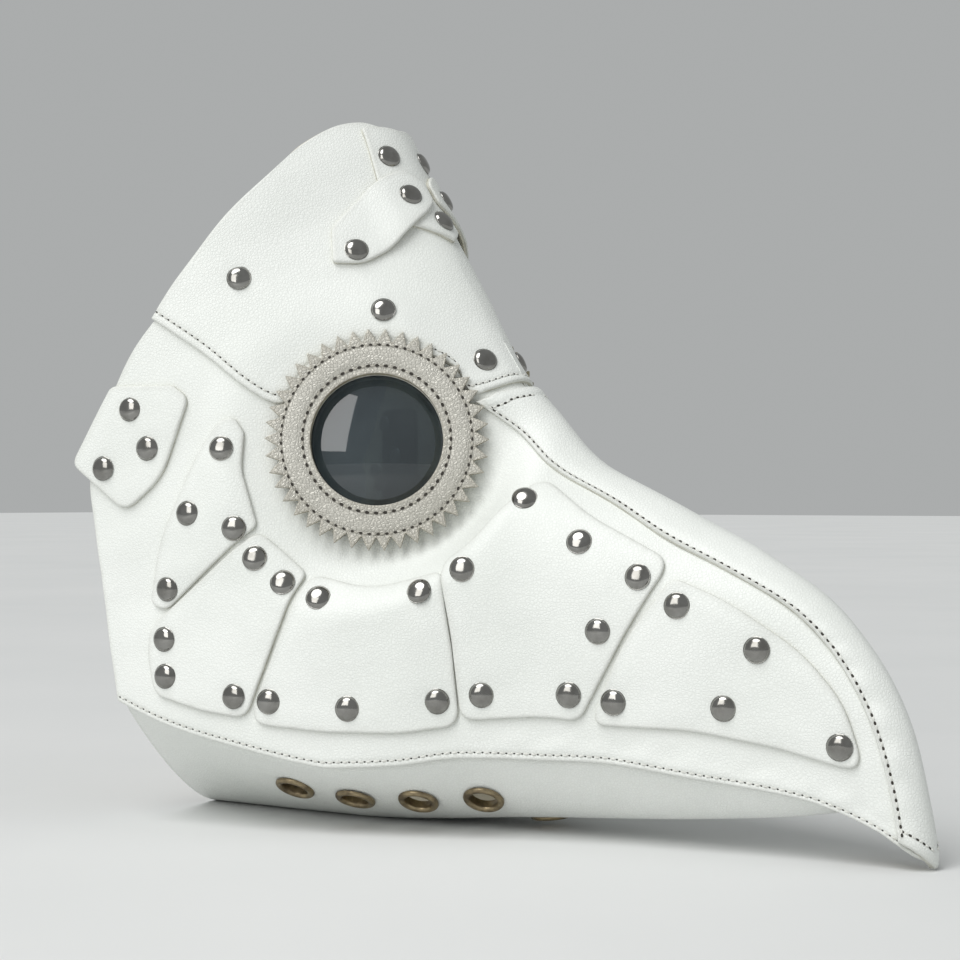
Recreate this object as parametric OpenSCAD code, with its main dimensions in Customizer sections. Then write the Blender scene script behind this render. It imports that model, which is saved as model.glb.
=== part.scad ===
// Plague doctor mask in riveted faux leather.
// +X points forward along the beak, +Y to the wearer's left and +Z up, in millimetres.
// The origin is on the table under the middle of the mask's box.

/* [Leather] */
// Thickness of the body panels
panel_t = 1.6; // [1.2:0.1:1.8]
// Thickness of the riveted plates, strips and tabs
plate_t = 1.6; // [1.2:0.1:1.8]

/* [Eyes] */
// Diameter of the eye opening
eye_d = 45; // [40:1:47]
// Diameter of the toothed ring over its tooth tips
gear_d = 76; // [72:1:80]
// Height of one tooth of the ring
tooth_h = 4.8; // [3:0.2:6]
// Number of teeth on the ring
gear_teeth = 42; // [30:1:48]
// Height of the lens dome
lens_rise = 3.4; // [2:0.2:5]

/* [Fasteners] */
// Diameter of a rivet cap
rivet_d = 8.6; // [7:0.2:9.4]
// Height of a rivet cap
rivet_h = 2.0; // [1.4:0.1:2.6]
// Outer diameter of a vent eyelet
eyelet_d = 14; // [12:0.5:15]
// Clear hole through a vent eyelet
eyelet_hole = 9.2; // [7:0.2:10]

/* [Head strap] */
// Width of the head strap
strap_w = 20; // [16:1:22]
// Thickness of the head strap
strap_t = 2; // [1.6:0.1:2.4]
// Diameter of the buckle's wire
wire_d = 3; // [2.4:0.2:3.4]

/* [Hidden] */
$fn = 48;

white = [0.9, 0.92, 0.9];
silver = [0.66, 0.64, 0.6];
nickel = [0.8, 0.79, 0.76];
brass = [0.42, 0.36, 0.24];
cream = [0.86, 0.84, 0.74];
dark_leather = [0.16, 0.15, 0.14];

gap = 0.15;          // clearance between layers, and of each side from the middle plane
layer_2 = gap;                       // underside of a piece lying on the body panels
layer_3 = layer_2 + plate_t + gap;   // underside of a piece lying on layer 2
layer_4 = layer_3 + plate_t + gap;   // underside of a piece lying on layer 3

// ---- shape of the mask, as points chosen by hand that smooth curves pass through ----

// Side view of the ridge, from the tip of the beak to the top of the forehead: [x, z]
RIDGE = [
  [141, -2], [140, 12], [136.5, 29.5], [130.5, 47], [121.5, 62.5], [110, 76], [93, 88],
  [71, 99.5], [44, 112.5], [24, 122], [7.5, 137.5], [-7, 152], [-19.5, 171],
  [-37, 199.5], [-52, 221.5], [-64.2, 243.6]
];
// Point behind the mask that its sides fan out from, in side view
HUB = [-225, 60];
// Greatest half width at each x
HALF_WIDTH = [
  [-145, 81], [-115, 77], [-85, 72], [-55, 64], [-27, 53], [-5, 42.5], [15, 34], [35, 28],
  [60, 22.5], [85, 16.5], [115, 11], [145, 7]
];
// Radius of the ridge, and how fast the sides spread behind it, by angle about HUB
RIDGE_R = [[-10, 4], [8, 5], [14, 7], [20, 9], [30, 12.5], [40, 15.5], [48, 18]];
SPREAD = [[-10, 0.7], [0, 0.65], [8, 0.7], [14, 0.9], [20, 1], [30, 1], [40, 1.1], [48, 1.2]];
SQUARENESS = 4;      // how squarely the ridge's spread turns into the side

// Centre of the eye in side view, its distance from the middle plane, and the flat round it
EYE = [-41.7, 131.9];
EYE_Y = 37;
EYE_SLOPE = [-0.7, -0.12];
FLAT_R = [36, 60];

// Seam between side panel and gusset, and the keel under it: [x, z]
SEAM = [
  [-124, 42], [-103, 34.5], [-77, 28.5], [-50, 23.2], [-40, 22.9], [-22, 24.2], [-5, 27],
  [20, 27.2], [44, 27], [73, 23.5], [101, 20], [115, 16.5], [127, 11.5], [132, 8.5], [137, 5],
  [140.7, 2.5]
];
KEEL = [[-136, 0], [-60, 0], [-35, 1.2], [0, 4.2], [55, 8], [95, 12], [113, 15]];
// Rear edge of the side panel from the seam up, and its top edge from the ridge to the rear
REAR = [
  [-124, 42], [-126.5, 55], [-129.7, 71], [-132.2, 87], [-135.5, 105], [-137, 118],
  [-134, 134], [-127, 150.5], [-119.5, 164], [-110, 176]
];
PANEL_TOP = [[-19.2, 170], [-40, 169], [-62, 169], [-86, 171], [-110, 176]];
// Lower, upper and rear edges of the forehead panel
BROW = [
  [-7, 152], [-15.6, 147.7], [-22, 156.4], [-34, 162.7], [-49.5, 162.8], [-62.6, 154.4],
  [-70.5, 144.2], [-94, 161.7], [-112.5, 174.2]
];
CROWN = [[-64.2, 243.6], [-66.4, 245.2], [-69.8, 246], [-74.2, 243.5], [-78.5, 237], [-80.6, 232]];
TEMPLE = [[-112.5, 174.2], [-106, 185.3], [-99, 196.5], [-91, 211.3], [-84.6, 223], [-80.6, 232]];

// ---- curves ----

function knot(tab, x, i = 0) = i >= len(tab) - 2 || x < tab[i + 1][0] ? i : knot(tab, x, i + 1);
function slope(tab, i) =
  let (a = max(i - 1, 0), b = min(i + 1, len(tab) - 1))
  (tab[b][1] - tab[a][1]) / (tab[b][0] - tab[a][0]);
// Smooth curve through the points of a table, straight past both its ends
function smooth(tab, x) =
  let (n = len(tab) - 1)
  x <= tab[0][0] ? tab[0][1] + (x - tab[0][0]) * slope(tab, 0) :
  x >= tab[n][0] ? tab[n][1] + (x - tab[n][0]) * slope(tab, n) :
  let (i = knot(tab, x), h = tab[i + 1][0] - tab[i][0], u = (x - tab[i][0]) / h)
  (1 + 2 * u) * pow(1 - u, 2) * tab[i][1] + u * pow(1 - u, 2) * h * slope(tab, i)
    + u * u * (3 - 2 * u) * tab[i + 1][1] + u * u * (u - 1) * h * slope(tab, i + 1);
// Point at fraction u, 0 to 1, along a smooth curve through a list of points
function along(list, u) =
  let (
    n = len(list) - 1,
    i = min(floor(u * n), n - 1),
    f = u * n - i,
    p1 = list[i],
    p2 = list[i + 1],
    p0 = i > 0 ? list[i - 1] : 2 * p1 - p2,
    p3 = i < n - 1 ? list[i + 2] : 2 * p2 - p1
  )
  (2 * p1 + (p2 - p0) * f + (2 * p0 - 5 * p1 + 4 * p2 - p3) * f * f
    + (3 * p1 - p0 - 3 * p2 + p3) * f * f * f) / 2;
function ease(u) = let (c = max(0, min(1, u))) c * c * (3 - 2 * c);

// ---- the side surface: half width at a point of the side view ----

function angle_at(x, z) = atan2(z - HUB[1], x - HUB[0]);
function reach_at(x, z) = norm([x - HUB[0], z - HUB[1]]);
REACH = [for (p = RIDGE) [angle_at(p[0], p[1]), reach_at(p[0], p[1])]];
function behind_ridge(x, z) = smooth(REACH, angle_at(x, z)) - reach_at(x, z);
function ridge_spread(a, t) = sqrt(2 * smooth(RIDGE_R, a) * t + pow(smooth(SPREAD, a) * t, 2));
function free_width(x, z) =
  let (t = behind_ridge(x, z))
  t <= 0 ? 0 :
  pow(pow(ridge_spread(angle_at(x, z), t), -SQUARENESS)
    + pow(smooth(HALF_WIDTH, x), -SQUARENESS), -1 / SQUARENESS);
function half_width(x, z) =
  let (
    free = free_width(x, z),
    flat = 1 - ease((norm([(x - EYE[0]) * 1.1, z - EYE[1]]) - FLAT_R[0]) / (FLAT_R[1] - FLAT_R[0])),
    plane = EYE_Y + EYE_SLOPE[0] * (x - EYE[0]) + EYE_SLOPE[1] * (z - EYE[1])
  )
  free + (min(plane, free + 6 * ease((free - 8) / 25)) - free) * flat;

// Square of the half width, which runs on smoothly past the ridge
function width_squared(x, z) =
  let (t = behind_ridge(x, z))
  t <= 0 ? 2 * smooth(RIDGE_R, angle_at(x, z)) * t : pow(half_width(x, z), 2);
// Outward direction on the right side at a point of the side view
function outward(x, z, step = 0.4) =
  let (v = [
    width_squared(x - step, z) - width_squared(x + step, z),
    -4 * step * half_width(x, z),
    width_squared(x, z - step) - width_squared(x, z + step)
  ])
  v / norm(v);
// Point on the right side, raised above the surface
function side_point(p, lift) = [p[0], -half_width(p[0], p[1]), p[1]] + lift * outward(p[0], p[1]);

// ---- front coordinates, for pieces that wrap over the ridge: [across, height along it] ----

RISE_PER_DEGREE = 4.15;
RISE_FROM = 30;
function spread_back(a, y) =
  let (r = smooth(RIDGE_R, a), k = smooth(SPREAD, a))
  (sqrt(r * r + k * k * y * y) - r) / (k * k);
function side_view(a, y, t = 0, turns = 4) =
  let (reach = smooth(REACH, a) - t, x = HUB[0] + reach * cos(a), z = HUB[1] + reach * sin(a))
  turns == 0 ? [x, z] :
  let (
    limit = pow(smooth(HALF_WIDTH, x), -SQUARENESS),
    free = abs(y) < 0.01 ? 0 : pow(pow(abs(y), -SQUARENESS) - limit, -1 / SQUARENESS)
  )
  side_view(a, y, spread_back(a, free), turns - 1);
function mirrored(p, across) = across > 0 ? [p[0], -p[1], p[2]] : p;
function front_point(p, lift) =
  mirrored(side_point(side_view(RISE_FROM + p[1] / RISE_PER_DEGREE, p[0]), lift), -p[0]);

// ---- sheets and patches ----

// Closed sheet between two grids of points, both given as rows of the same length
module sheet(outer, inner) {
  m = len(outer);
  n = len(outer[0]);
  points = [for (row = outer) each row, for (row = inner) each row];
  base = m * n;
  function top(i, j) = i * n + j;
  function under(i, j) = base + i * n + j;
  faces = [
    for (i = [0 : m - 2]) for (j = [0 : n - 2]) each [
      [top(i, j), top(i, j + 1), top(i + 1, j + 1)],
      [top(i, j), top(i + 1, j + 1), top(i + 1, j)],
      [under(i, j), under(i + 1, j + 1), under(i, j + 1)],
      [under(i, j), under(i + 1, j), under(i + 1, j + 1)]
    ],
    for (i = [0 : m - 2]) each [
      [top(i, 0), top(i + 1, 0), under(i + 1, 0)],
      [top(i, 0), under(i + 1, 0), under(i, 0)],
      [top(i, n - 1), under(i + 1, n - 1), top(i + 1, n - 1)],
      [top(i, n - 1), under(i, n - 1), under(i + 1, n - 1)]
    ],
    for (j = [0 : n - 2]) each [
      [top(0, j), under(0, j + 1), top(0, j + 1)],
      [top(0, j), under(0, j), under(0, j + 1)],
      [top(m - 1, j), top(m - 1, j + 1), under(m - 1, j + 1)],
      [top(m - 1, j), under(m - 1, j + 1), under(m - 1, j)]
    ]
  ];
  polyhedron(points, faces);
}

// Closed patch of leather: an outline, filled in rings towards its middle, between two lifts.
// place turns a point of the outline and a lift into a point in space.
module patch(outline, place, low, high, rings = 3, lift = function (p) 0) {
  n = len(outline);
  middle = [for (k = [0, 1]) let (v = [for (p = outline) p[k]]) (min(v) + max(v)) / 2];
  rim = [
    for (k = [0 : rings - 1]) for (p = outline) middle + (p - middle) * (1 - k / rings)
  ];
  flat = [each rim, middle];
  count = len(flat);
  points = [
    for (p = flat) place(p, high + lift(p)),
    for (p = flat) place(p, low + lift(p))
  ];
  function at(k, i) = k * n + i % n;
  faces = [
    for (k = [0 : rings - 2]) for (i = [0 : n - 1]) each [
      [at(k, i), at(k, i + 1), at(k + 1, i + 1)],
      [at(k, i), at(k + 1, i + 1), at(k + 1, i)],
      [count + at(k, i), count + at(k + 1, i + 1), count + at(k, i + 1)],
      [count + at(k, i), count + at(k + 1, i), count + at(k + 1, i + 1)]
    ],
    for (i = [0 : n - 1]) each [
      [at(rings - 1, i), at(rings - 1, i + 1), count - 1],
      [count + at(rings - 1, i), 2 * count - 1, count + at(rings - 1, i + 1)],
      [at(0, i), count + at(0, i), count + at(0, i + 1)],
      [at(0, i), count + at(0, i + 1), at(0, i + 1)]
    ]
  ];
  polyhedron(points, faces);
}

// Outline through corners [a, b, radius], with each corner rounded by an arc of 4 steps
function rounded(corners) =
  let (n = len(corners))
  [for (i = [0 : n - 1])
    let (
      c = corners[i],
      p = [c[0], c[1]],
      q = corners[(i + n - 1) % n],
      s = corners[(i + 1) % n],
      to_q = [q[0], q[1]] - p,
      to_s = [s[0], s[1]] - p,
      u = to_q / norm(to_q),
      v = to_s / norm(to_s),
      half = acos(max(-1, min(1, u * v))) / 2,
      cut = min(c[2] / tan(half), 0.45 * norm(to_q), 0.45 * norm(to_s))
    )
    each half > 84 ? [p] :
    [for (k = [0 : 4]) let (f = k / 4, a = p + u * cut * pow(1 - f, 2) + v * cut * f * f) a]
  ];

// Grid point of a four-sided region, a and b from 0 to 1, between its four edge curves
function region(bottom, top, ridge, rear, a, b) =
  (1 - a) * along(bottom, b) + a * along(top, b)
    + (1 - b) * along(ridge, a) + b * along(rear, a)
    - (1 - a) * (1 - b) * bottom[0] - (1 - a) * b * rear[0]
    - a * (1 - b) * top[0] - a * b * top[len(top) - 1];

// Puts children on the right side at a point of the side view, their +Z pointing outward
module on_side(p, lift) {
  d = outward(p[0], p[1]);
  translate(side_point(p, lift)) rotate([0, acos(d[2]), atan2(d[1], d[0])]) children();
}
// Puts children on the front at a point across and up the ridge, their +Z pointing outward
module on_front(p, lift) {
  v = front_point(p, lift + 1) - front_point(p, lift);
  translate(front_point(p, lift)) rotate([0, acos(v[2]), atan2(v[1], v[0])]) children();
}
module on_eye(lift) {
  d = [-EYE_SLOPE[0], -1, -EYE_SLOPE[1]];
  u = d / norm(d);
  translate([EYE[0], -EYE_Y, EYE[1]] + lift * u)
    rotate([0, acos(u[2]), atan2(u[1], u[0])])
    children();
}
module on_left() {
  mirror([0, 1, 0]) children();
}

// ---- body panels ----

SIDE_BOTTOM = [for (i = [len(SEAM) - 1 : -1 : 0]) SEAM[i]];
SIDE_RIDGE = [SEAM[len(SEAM) - 1], for (i = [1 : 11]) RIDGE[i], [-19.2, 170]];
SIDE_STEPS = [18, 22];

module side_panel_right() {
  function row(i, lift) =
    [for (j = [0 : SIDE_STEPS[1]])
      let (
        a = i / SIDE_STEPS[0],
        b = pow(j / SIDE_STEPS[1], 1.3),
        p = region(SIDE_BOTTOM, PANEL_TOP, SIDE_RIDGE, REAR, a, b),
        q = side_point(p, lift)
      )
      [q[0], q[1] - gap, q[2]]];
  color(white) difference() {
    sheet(
      [for (i = [0 : SIDE_STEPS[0]]) row(i, 0)],
      [for (i = [0 : SIDE_STEPS[0]]) row(i, -panel_t)]
    );
    on_eye(-8) cylinder(h = 14, d = eye_d);
  }
}
module side_panel_left() {
  on_left() side_panel_right();
}

// Underside of the cheeks and beak: a wide flat keel that rises to the seam on each side
KEEL_FLAT = 0.25;    // share of the half width that is flat
GUSSET_BEND = 1.5;   // how the underside curves up from the keel
GUSSET_STEPS = [18, 16];
KEEL_SEAM = [for (i = [0 : 11]) SEAM[i]];
function seam_inset(x) = free_width(x, smooth(KEEL_SEAM, x)) - panel_t - 2 * gap;
// Point of the underside: a from the rear edge to the front, b across from -1 to 1
function gusset_point(a, b) =
  let (
    x = -135.5 * (1 - a) + 112.5 * a + 11.5 * abs(b) * (1 - a),
    seam = smooth(KEEL_SEAM, x) + 0.5,
    keel = max(0, smooth(KEEL, x)),
    u = max(0, (abs(b) - KEEL_FLAT) / (1 - KEEL_FLAT))
  )
  [x, b * seam_inset(x), keel + (seam - keel) * pow(u, GUSSET_BEND)];
function gusset_up(a, b) =
  let (
    e = 0.02,
    v = cross(
      gusset_point(a + e, b) - gusset_point(a - e, b),
      gusset_point(a, b + e) - gusset_point(a, b - e)
    )
  )
  v / norm(v);
// Vent eyelets, [a, b] on the underside: a wedge of nine that points forward
VENTS = [[0.565, 0], for (k = [0 : 3]) for (s = [-1, 1]) [0.509 - 0.0895 * k, s * (0.62 + 0.03 * k)]];

module on_gusset(v, lift) {
  d = -gusset_up(v[0], v[1]);
  translate(gusset_point(v[0], v[1]) + lift * d)
    rotate([0, acos(d[2]), atan2(d[1], d[0])])
    children();
}
module under_gusset() {
  function row(i, lift) =
    [for (j = [0 : GUSSET_STEPS[1]])
      let (a = i / GUSSET_STEPS[0], b = 2 * j / GUSSET_STEPS[1] - 1)
      gusset_point(a, b) + lift * gusset_up(a, b)];
  color(white) difference() {
    sheet(
      [for (i = [0 : GUSSET_STEPS[0]]) row(i, panel_t)],
      [for (i = [0 : GUSSET_STEPS[0]]) row(i, 0)]
    );
    for (v = VENTS) on_gusset(v, -6) cylinder(h = 12, d = eyelet_hole + 0.8);
  }
}

// Forehead panel: one piece folded over the ridge
FOREHEAD_RIDGE = [for (i = [11 : 15]) RIDGE[i]];
FOREHEAD_STEPS = [12, 12];
module forehead_panel() {
  function point(i, j, lift) =
    let (
      a = i / FOREHEAD_STEPS[0],
      b = pow(abs(j) / FOREHEAD_STEPS[1], 1.4),
      p = region(BROW, CROWN, FOREHEAD_RIDGE, TEMPLE, a, b)
    )
    mirrored(side_point(p, lift), j);
  function row(i, lift) = [for (j = [-FOREHEAD_STEPS[1] : FOREHEAD_STEPS[1]]) point(i, j, lift)];
  color(white) sheet(
    [for (i = [0 : FOREHEAD_STEPS[0]]) row(i, layer_2 + plate_t)],
    [for (i = [0 : FOREHEAD_STEPS[0]]) row(i, layer_2)]
  );
}
// Facing sewn inside the top edge of the forehead, standing a little above it
FACING_DEPTH = 14;
FACING_STEPS = 20;
module forehead_facing() {
  above = 0.8;
  function point(u, drop, lift) =
    let (
      p = along(CROWN, abs(u)),
      a = angle_at(p[0], p[1]) + (above - drop) / RISE_PER_DEGREE,
      r = smooth(REACH, a) - max(0.01, behind_ridge(p[0], p[1]))
    )
    mirrored(side_point([HUB[0] + r * cos(a), HUB[1] + r * sin(a)], lift), u);
  function row(drop, lift) =
    [for (i = [-FACING_STEPS : FACING_STEPS]) point(i / FACING_STEPS, drop, lift)];
  color(cream) sheet(
    [for (k = [0 : 2]) row(FACING_DEPTH * (1 - k / 2), -gap)],
    [for (k = [0 : 2]) row(FACING_DEPTH * (1 - k / 2), -gap - 1)]
  );
}

// Strip sewn over the ridge seam of the beak
STRIP_HALF = [[-10, 7], [0, 8.2], [3, 9.6], [5.5, 12], [8, 13.3], [11, 12.2], [14, 12.5], [20.5, 17.5]];
STRIP_STEPS = [40, 4];
module beak_top_strip() {
  from = angle_at(140.5, 0.4);
  to = angle_at(-1.5, 150.5);
  function point(i, j, lift) =
    let (
      start = from + 1.1 * abs(j) / STRIP_STEPS[1],
      a = start + (to - start) * i / STRIP_STEPS[0],
      y = smooth(STRIP_HALF, a) * j / STRIP_STEPS[1],
      p = side_view(a, y)
    )
    mirrored(side_point(p, lift), j);
  function row(i, lift) = [for (j = [-STRIP_STEPS[1] : STRIP_STEPS[1]]) point(i, j, lift)];
  color(white) sheet(
    [for (i = [0 : STRIP_STEPS[0]]) row(i, layer_2 + plate_t)],
    [for (i = [0 : STRIP_STEPS[0]]) row(i, layer_2)]
  );
}

// Shield over the middle of the forehead, and the two small straps that cross its sides
module forehead_shield() {
  steps = [12, 6];
  // half width at a height, and the heights of the top and bottom edges at a place across
  function half(f) = 13.3 + 4 * (1 - f);
  function low(u) = 29.4 + 14 * abs(u);
  function high(u) = 77.4 + 3.1 * abs(u);
  function point(i, j, lift) =
    let (f = i / steps[0], u = j / steps[1])
    front_point([u * half(f), low(u) + (high(u) - low(u)) * f], lift);
  function row(i, lift) = [for (j = [-steps[1] : steps[1]]) point(i, j, lift)];
  color(white) sheet(
    [for (i = [0 : steps[0]]) row(i, layer_3 + plate_t)],
    [for (i = [0 : steps[0]]) row(i, layer_3)]
  );
}
FOREHEAD_STRAP = rounded([
  [-33.5, 50.5, 5], [-36.9, 37.2, 2], [-29.7, 31.8, 8], [-21.6, 32.6, 14], [-5.5, 42, 12], [-1, 46, 6],
  [-1.2, 55.5, 6], [-7, 61, 7], [-17.8, 59.6, 16]
]);
module forehead_strap_right() {
  climb = function (p) (layer_4 - layer_3) * ease((p[0] + 24) / 10);
  color(white) patch(
    FOREHEAD_STRAP,
    function (p, lift) front_point(p, lift),
    layer_3,
    layer_3 + plate_t,
    rings = 4,
    lift = climb
  );
}
module forehead_strap_left() {
  on_left() forehead_strap_right();
}

// ---- riveted plates, outlines in side view: [x, z, corner radius] ----

CHEEK_REAR = [
  [-82.1, 139.9, 5], [-78.7, 134.5, 4], [-78.7, 121.9, 20], [-72.5, 102.5, 3.5], [-104, 73.6, 5],
  [-110.5, 76, 6], [-107, 97, 60], [-95.4, 125.5, 60], [-86.3, 138.5, 6]
];
JAW_REAR = [
  [-71.9, 100.9, 4], [-55.8, 86.3, 4], [-61.2, 69, 80], [-72.4, 38.4, 6], [-88, 40.2, 60],
  [-107.5, 45, 7], [-110.8, 58, 40], [-110, 67.5, 8]
];
JAW_MIDDLE = [
  [-54.4, 86.3, 4], [-35.8, 81, 50], [-12.6, 87.2, 4], [-10.3, 86.4, 2], [-6.4, 64, 80],
  [-3.8, 38, 6], [-22, 35, 60], [-45, 34.8, 60], [-71.4, 36.8, 7], [-66.2, 52, 60], [-58.3, 73, 60]
];
BEAK_REAR = [
  [12, 118.9, 6], [34, 105, 100], [62, 91.8, 6], [48.5, 68.3, 80], [34, 40.5, 6],
  [22, 41.6, 60], [-3.4, 39.6, 5], [-6.8, 69, 80], [-11.5, 91, 4], [-1.8, 98.2, 30]
];
BEAK_FRONT = [
  [63.5, 87, 4], [81, 79.8, 100], [104, 65, 60], [117.5, 50, 40], [124.6, 28.4, 5],
  [97, 35, 100], [70, 39.2, 100], [37.5, 39.5, 4], [48.2, 66.2, 80]
];
TEMPLE_TAB = [
  [-127.5, 151.2, 4], [-142.8, 124.2, 4], [-121.3, 107.2, 7], [-107.5, 119, 25],
  [-98, 146.5, 5], [-104, 151, 4]
];

module plate(outline, low = layer_2, rings = 3) {
  color(white) patch(
    rounded([for (i = [len(outline) - 1 : -1 : 0]) outline[i]]),
    function (p, lift) side_point(p, lift),
    low,
    low + plate_t,
    rings = rings
  );
}
module cheek_plate_rear_right() {
  plate(CHEEK_REAR);
}
module jaw_plate_rear_right() {
  plate(JAW_REAR);
}
module jaw_plate_middle_right() {
  plate(JAW_MIDDLE);
}
module beak_plate_rear_right() {
  plate(BEAK_REAR);
}
module beak_plate_front_right() {
  plate(BEAK_FRONT);
}
module temple_tab_right() {
  plate(TEMPLE_TAB);
}
module cheek_plate_rear_left() {
  on_left() cheek_plate_rear_right();
}
module jaw_plate_rear_left() {
  on_left() jaw_plate_rear_right();
}
module jaw_plate_middle_left() {
  on_left() jaw_plate_middle_right();
}
module beak_plate_rear_left() {
  on_left() beak_plate_rear_right();
}
module beak_plate_front_left() {
  on_left() beak_plate_front_right();
}
module temple_tab_left() {
  on_left() temple_tab_right();
}

// ---- eyes ----

GEAR_T = 1.8;
GEAR_LIFT = layer_3 + 0.1;
module gear_ring_right() {
  root = gear_d / 2 - tooth_h;
  step = 360 / gear_teeth;
  teeth = [
    for (k = [0 : gear_teeth - 1]) each [
      root * [cos((k - 0.5) * step), sin((k - 0.5) * step)],
      gear_d / 2 * [cos(k * step), sin(k * step)]
    ]
  ];
  color(silver) on_eye(GEAR_LIFT) linear_extrude(GEAR_T) difference() {
    polygon(teeth);
    circle(d = eye_d);
  }
}
LENS_D = eye_d + 5;
LENS_T = 1.4;
LENS_SEAT = -panel_t - 3 * gap - LENS_T;
module eye_lens_right() {
  steps = 8;
  rim = 3;
  half = LENS_D / 2 - rim;
  // dome over the opening with a flat rim behind the panel
  function dome(half, f, low) = [half * (1 - f), low + lens_rise * (1 - pow(1 - f, 2))];
  outer = [for (k = [0 : steps]) dome(half, k / steps, LENS_T)];
  inner = [for (k = [steps : -1 : 0]) dome(half - 1, k / steps, 0)];
  color([0.08, 0.1, 0.12]) on_eye(LENS_SEAT) rotate_extrude()
    polygon([[LENS_D / 2, 0], [LENS_D / 2, LENS_T], each outer, each inner]);
}
RETAINER_D = LENS_D + 9;
module lens_retainer_right() {
  back = 1.6;
  front = -panel_t - gap;
  color([0.15, 0.15, 0.15]) on_eye(0) rotate_extrude() polygon([
    [LENS_D / 2 + 0.2, front],
    [RETAINER_D / 2, front],
    [RETAINER_D / 2, LENS_SEAT - back],
    [eye_d / 2 - 0.5, LENS_SEAT - back],
    [eye_d / 2 - 0.5, LENS_SEAT - 0.1],
    [LENS_D / 2 + 0.2, LENS_SEAT - 0.1]
  ]);
}
module gear_ring_left() {
  on_left() gear_ring_right();
}
module eye_lens_left() {
  on_left() eye_lens_right();
}
module lens_retainer_left() {
  on_left() lens_retainer_right();
}

// ---- rivets and eyelets ----

// Rivet through a stack of leather, from the cap's seat at z = 0 down to -grip
module rivet(grip) {
  r = rivet_d / 2;
  back = 0.8;
  shank = 1.5;
  color(nickel) rotate_extrude() polygon([
    [0, rivet_h], [0.35 * r, 0.94 * rivet_h], [0.65 * r, 0.76 * rivet_h],
    [0.86 * r, 0.5 * rivet_h], [r - 0.2, 0.22 * rivet_h], [r, 0.16 * rivet_h], [r, 0],
    [shank, 0], [shank, -grip], [r - 0.8, -grip], [r - 1, -grip - back], [0, -grip - back]
  ]);
}
ON_PLATE = layer_2 + plate_t + gap;
// Rivets of the plates in side view, plate by plate from the cheek to the beak
PLATE_RIVETS = [
  [-85, 129], [-96.2, 107], [-79.1, 102], [-103.5, 81.2],
  [-71.7, 91.8], [-62, 83.6], [-103.8, 64], [-103, 51.5], [-76.8, 45.7],
  [-49.6, 78.4], [-16.6, 81], [-64.2, 44.4], [-38, 42.8], [-10.6, 45.8],
  [10.8, 111.4], [-3.8, 88.8], [31.9, 97.6], [52.4, 86.9], [40.2, 69.6], [3, 48.2], [30.7, 49],
  [65.5, 78.2], [90.8, 65.1], [45.4, 47.2], [80.6, 46.7], [116.7, 36.3]
];
TEMPLE_RIVETS = [[-119.8, 143], [-113, 129.4], [-130, 122.6]];
BROW_RIVETS = [[-85.4, 187.5], [-43.3, 176.1], [-16.5, 159]];
// Rivets in front coordinates, [across, up the ridge]
STRAP_RIVETS = [[-8.4, 50.1], [-29.9, 37.9]];
SHIELD_RIVETS = [[-8.8, 67.5], [8.8, 67.5], [0, 38.5]];

module both_sides() {
  children();
  on_left() children();
}
module plate_rivets_right() {
  for (p = PLATE_RIVETS) on_side(p, ON_PLATE) rivet(ON_PLATE + panel_t + gap);
}
module plate_rivets_left() {
  on_left() plate_rivets_right();
}
module forehead_rivets() {
  both_sides() {
    for (p = BROW_RIVETS) on_side(p, ON_PLATE) rivet(ON_PLATE);
    on_front(STRAP_RIVETS[0], layer_4 + plate_t + gap) rivet(layer_4 + plate_t + gap);
    on_front(STRAP_RIVETS[1], layer_3 + plate_t + gap) rivet(layer_3 + plate_t + gap);
  }
  for (p = SHIELD_RIVETS) on_front(p, layer_3 + plate_t + gap) rivet(layer_3 + plate_t + gap);
}
module temple_rivets() {
  both_sides() for (i = [0 : 2]) on_side(TEMPLE_RIVETS[i], ON_PLATE)
    rivet(ON_PLATE + panel_t + gap + (i < 2 ? STRAP_BACK : 0));
}
module vent_eyelets() {
  r = eyelet_d / 2;
  h = eyelet_hole / 2;
  barrel = (r + h) / 2 - 0.9;
  for (v = VENTS) color(brass) on_gusset(v, gap) rotate_extrude() polygon([
    [h, 0.5], [h + 0.4, 1.1], [(r + h) / 2, 1.4], [r - 0.5, 0.8], [r, 0],
    [barrel - 0.2, 0], [barrel - 0.2, -panel_t - 2 * gap], [r - 1, -panel_t - 2 * gap],
    [r - 1, -panel_t - 2 * gap - 0.5], [h, -panel_t - 2 * gap - 0.5]
  ]);
}

// ---- head strap, tucked inside the mask ----

STRAP_AT = [-112, 132];      // where each half is riveted, in side view
STRAP_TURN = 9.6;            // turn of the strap's plane that follows the cheek
STRAP_BACK = strap_t + 0.9;  // strap thickness with its clearance, behind the panel
// Puts children behind the right panel: +X along it, +Y to the middle, Z as the mask's
module on_strap() {
  p = side_point(STRAP_AT, -panel_t - gap);
  translate([p[0], p[1], 0]) rotate([0, 0, STRAP_TURN]) children();
}
// Ribbon along a path in the plane across the strap, [inward, z]
module ribbon(path) {
  n = 40;
  centre = [for (k = [0 : n]) along(path, k / n)];
  side = [
    for (k = [0 : n])
      let (d = centre[min(k + 1, n)] - centre[max(k - 1, 0)], u = d / norm(d))
      [u[1], -u[0]] * strap_t / 2
  ];
  rotate([90, 0, 90]) linear_extrude(strap_w, center = true) polygon([
    for (k = [0 : n]) centre[k] + side[k],
    for (k = [n : -1 : 0]) centre[k] - side[k]
  ]);
}
MIDDLE_T = strap_t / 2 + 0.8;
LONG_STRAP = [
  [MIDDLE_T, 149], [MIDDLE_T, 130], [MIDDLE_T, 110], [MIDDLE_T + 0.4, 90], [MIDDLE_T + 1.8, 72],
  [9, 55], [18, 41], [30, 29], [43, 20], [56, 12.5], [68, 8]
];
HOLES = [0.62, 0.7, 0.78, 0.86, 0.94];
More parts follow.
